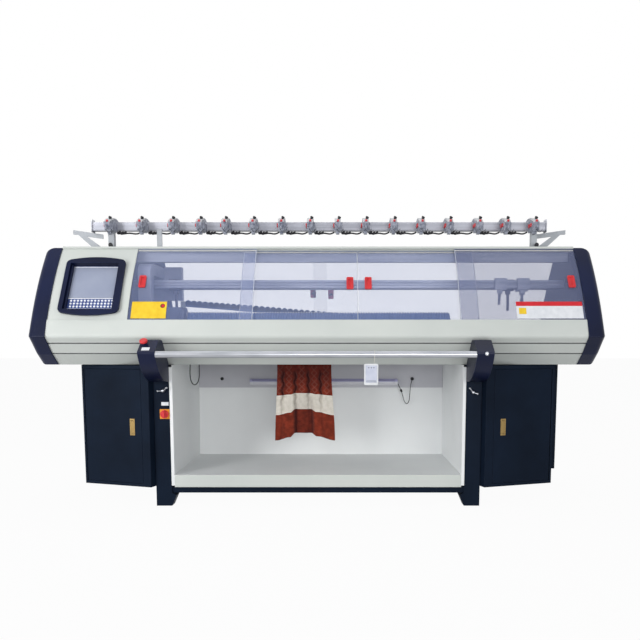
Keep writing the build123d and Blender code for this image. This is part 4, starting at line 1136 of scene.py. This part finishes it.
# %% Grid of the fabric
row_length = fabric_columns + 1
spots = [(i / fabric_columns, j / fabric_rows) for j in range(fabric_rows + 1) for i in range(row_length)]
verts, shades = zip(*[fabric_point(across, row) for across, row in spots])
corners = [j * row_length + i for j in range(fabric_rows) for i in range(fabric_columns)]
quads = [(c, c + row_length, c + row_length + 1, c + 1) for c in corners]
fabric_data = bpy.data.meshes.new("knit_fabric")
fabric_data.from_pydata(verts, [], quads)
fabric_data.polygons.foreach_set("use_smooth", [True] * len(quads))
flat_map = fabric_data.uv_layers.new(name="flat")
for loop in fabric_data.loops:
    across, row = spots[loop.vertex_index]
    flat_map.data[loop.index].uv = (across, 1 - row)
raised = fabric_data.attributes.new("strand", "FLOAT", "POINT")
raised.data.foreach_set("value", [fabric_strand(across, height_of(row)) for across, row in spots])
deep = fabric_data.attributes.new("groove", "FLOAT", "POINT")
deep.data.foreach_set("value", shades)
fabric = bpy.data.objects.new("knit_fabric", fabric_data)
bpy.context.collection.objects.link(fabric)


def path_length(places):
    return sum(math.dist(a, b) for a, b in zip(places, places[1:]))


low_row = int(0.8 * fabric_rows) * row_length
middle_row = verts[low_row:low_row + row_length]
middle_column = verts[row_length // 2::row_length]
print("fabric", len(verts), "points, across", round(path_length(middle_row), 3),
      "down", round(path_length(middle_column), 3))

# %% Thickness of the fabric
wool_shell = fabric.modifiers.new("wool", "SOLIDIFY")
wool_shell.thickness = 0.0022
wool_shell.offset = -1
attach(fabric, "machine")
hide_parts("knitted_panel")

# %% [markdown]
# ## Wool
# The yarn is matt with a little sheen. Stripes could be separate materials, but real ones change within
# a row of stitches, so one material chooses its colour by the flat fabric's rows. Grooves, the middle
# that falls back and the creases by the flaps get painted shade, and the top of the fabric is painted
# darker as painted shade too. The cables are lighter, and so are the two edges of the cream band.

# %% Nodes for sums and mixed colours
wool = Finish("striped_wool", roughness=0.95, gloss=0.1)
wool.shader.inputs["Sheen Weight"].default_value = 0.12
wool_map = wool.places()
flat_place = wool.add("ShaderNodeUVMap", uv_map="flat")
split = wool.add("ShaderNodeSeparateXYZ")
wool.join(flat_place, "UV", split, "Vector")
flat_across, flat_up = split.outputs["X"], split.outputs["Y"]


def worked(kind, first, second=None):
    node = wool.add("ShaderNodeMath", operation=kind)
    for place, value in enumerate((first, second)):
        if isinstance(value, (int, float)):
            node.inputs[place].default_value = value
        elif value is not None:
            wool.tree.links.new(value, node.inputs[place])
    return node.outputs[0]


def blend_colours(factor, first, second):
    mix = wool.add("ShaderNodeMix", data_type="RGBA")
    wool.tree.links.new(factor, mix.inputs["Factor"])
    wool.tree.links.new(first, mix.inputs[6])
    if isinstance(second, tuple):
        mix.inputs[7].default_value = second
    else:
        wool.tree.links.new(second, mix.inputs[7])
    return mix.outputs[2]


def row_of(height):
    return 1 - (fabric_top - height) / (fabric_top - fabric_bottom)


print("wool has", len(wool.tree.nodes), "nodes so far")

# %% Stripes and shade
def yarn(clouds, dark, light):
    return wool.ramp(wool.cloud(wool_map, clouds), "Fac", [(0.3, linear(*dark)), (0.7, linear(*light))])


rust, cream_wool = yarn(45, (98, 38, 26), (138, 54, 36)), yarn(60, (206, 200, 188), (224, 218, 208))
band_high, band_low, band_edge = 0.5495, 0.4455, 0.0028
band = worked("MULTIPLY", worked("LESS_THAN", flat_up, row_of(band_high)),
              worked("GREATER_THAN", flat_up, row_of(band_low)))
colour = blend_colours(band, rust.outputs["Color"], cream_wool.outputs["Color"])
for height in (band_high, band_low):
    distance = worked("ABSOLUTE", worked("SUBTRACT", flat_up, row_of(height)))
    colour = blend_colours(worked("LESS_THAN", distance, band_edge), colour, linear(232, 226, 216))
strand_map = wool.add("ShaderNodeAttribute", attribute_name="strand")
groove_map = wool.add("ShaderNodeAttribute", attribute_name="groove")
strand_share, groove_share, band_relief, top_shade_share = 0.34, 0.78, 0.46, 0.5
lighter = worked("MULTIPLY", strand_map.outputs["Fac"], strand_share)
colour = blend_colours(lighter, colour, linear(160, 106, 98))
# Painted shade from the groove layer: grooves, the fallen-back middle and the creases
darker = worked("MULTIPLY", groove_map.outputs["Fac"],
                worked("SUBTRACT", groove_share, worked("MULTIPLY", band, band_relief)))
colour = blend_colours(darker, colour, linear(38, 12, 16))
# Painted shade over the top of the fabric
upper = wool.add("ShaderNodeMapRange", **{"From Min": row_of(0.565), "From Max": row_of(0.665),
                                          "To Max": top_shade_share})
wool.tree.links.new(flat_up, upper.inputs["Value"])
colour = blend_colours(upper.outputs["Result"], colour, linear(44, 14, 20))
wool.tree.links.new(colour, wool.shader.inputs["Base Color"])
print("stripes from", band_low, "to", band_high)

# %% [markdown]
# Each stitch is a small V. Seventeen thousand modelled loops would be far too heavy, so the stitches are
# drawn as height from the flat fabric's own columns and rows: a wale is one column of stitches, and a
# course is one row.

# %% Stitches
wales, courses, arm_slant = 92, 190, 1.1
columns = worked("MULTIPLY", flat_across, wales)
arm = worked("ABSOLUTE", worked("SUBTRACT", worked("FRACT", columns), 0.5))
slanted = worked("ADD", worked("MULTIPLY", flat_up, courses), worked("MULTIPLY", arm, arm_slant))
loop_wave = worked("SINE", worked("MULTIPLY", slanted, 2 * math.pi))
wale_wave = worked("SINE", worked("MULTIPLY", columns, 2 * math.pi))
fuzz = wool.cloud(wool_map, 1500, 2.0)
stitch = worked("ADD", worked("MULTIPLY", loop_wave, 0.5), worked("MULTIPLY", wale_wave, 0.35))
stitch = worked("ADD", stitch, worked("MULTIPLY", fuzz.outputs["Fac"], 0.5))
stitch_bump = wool.add("ShaderNodeBump", Strength=0.7, Distance=0.0007)
wool.tree.links.new(stitch, stitch_bump.inputs["Height"])
wool.join(stitch_bump, "Normal", wool.shader, "Normal")
fabric_data.materials.append(wool.material)
print("wool with", wales, "wales and", courses, "courses")
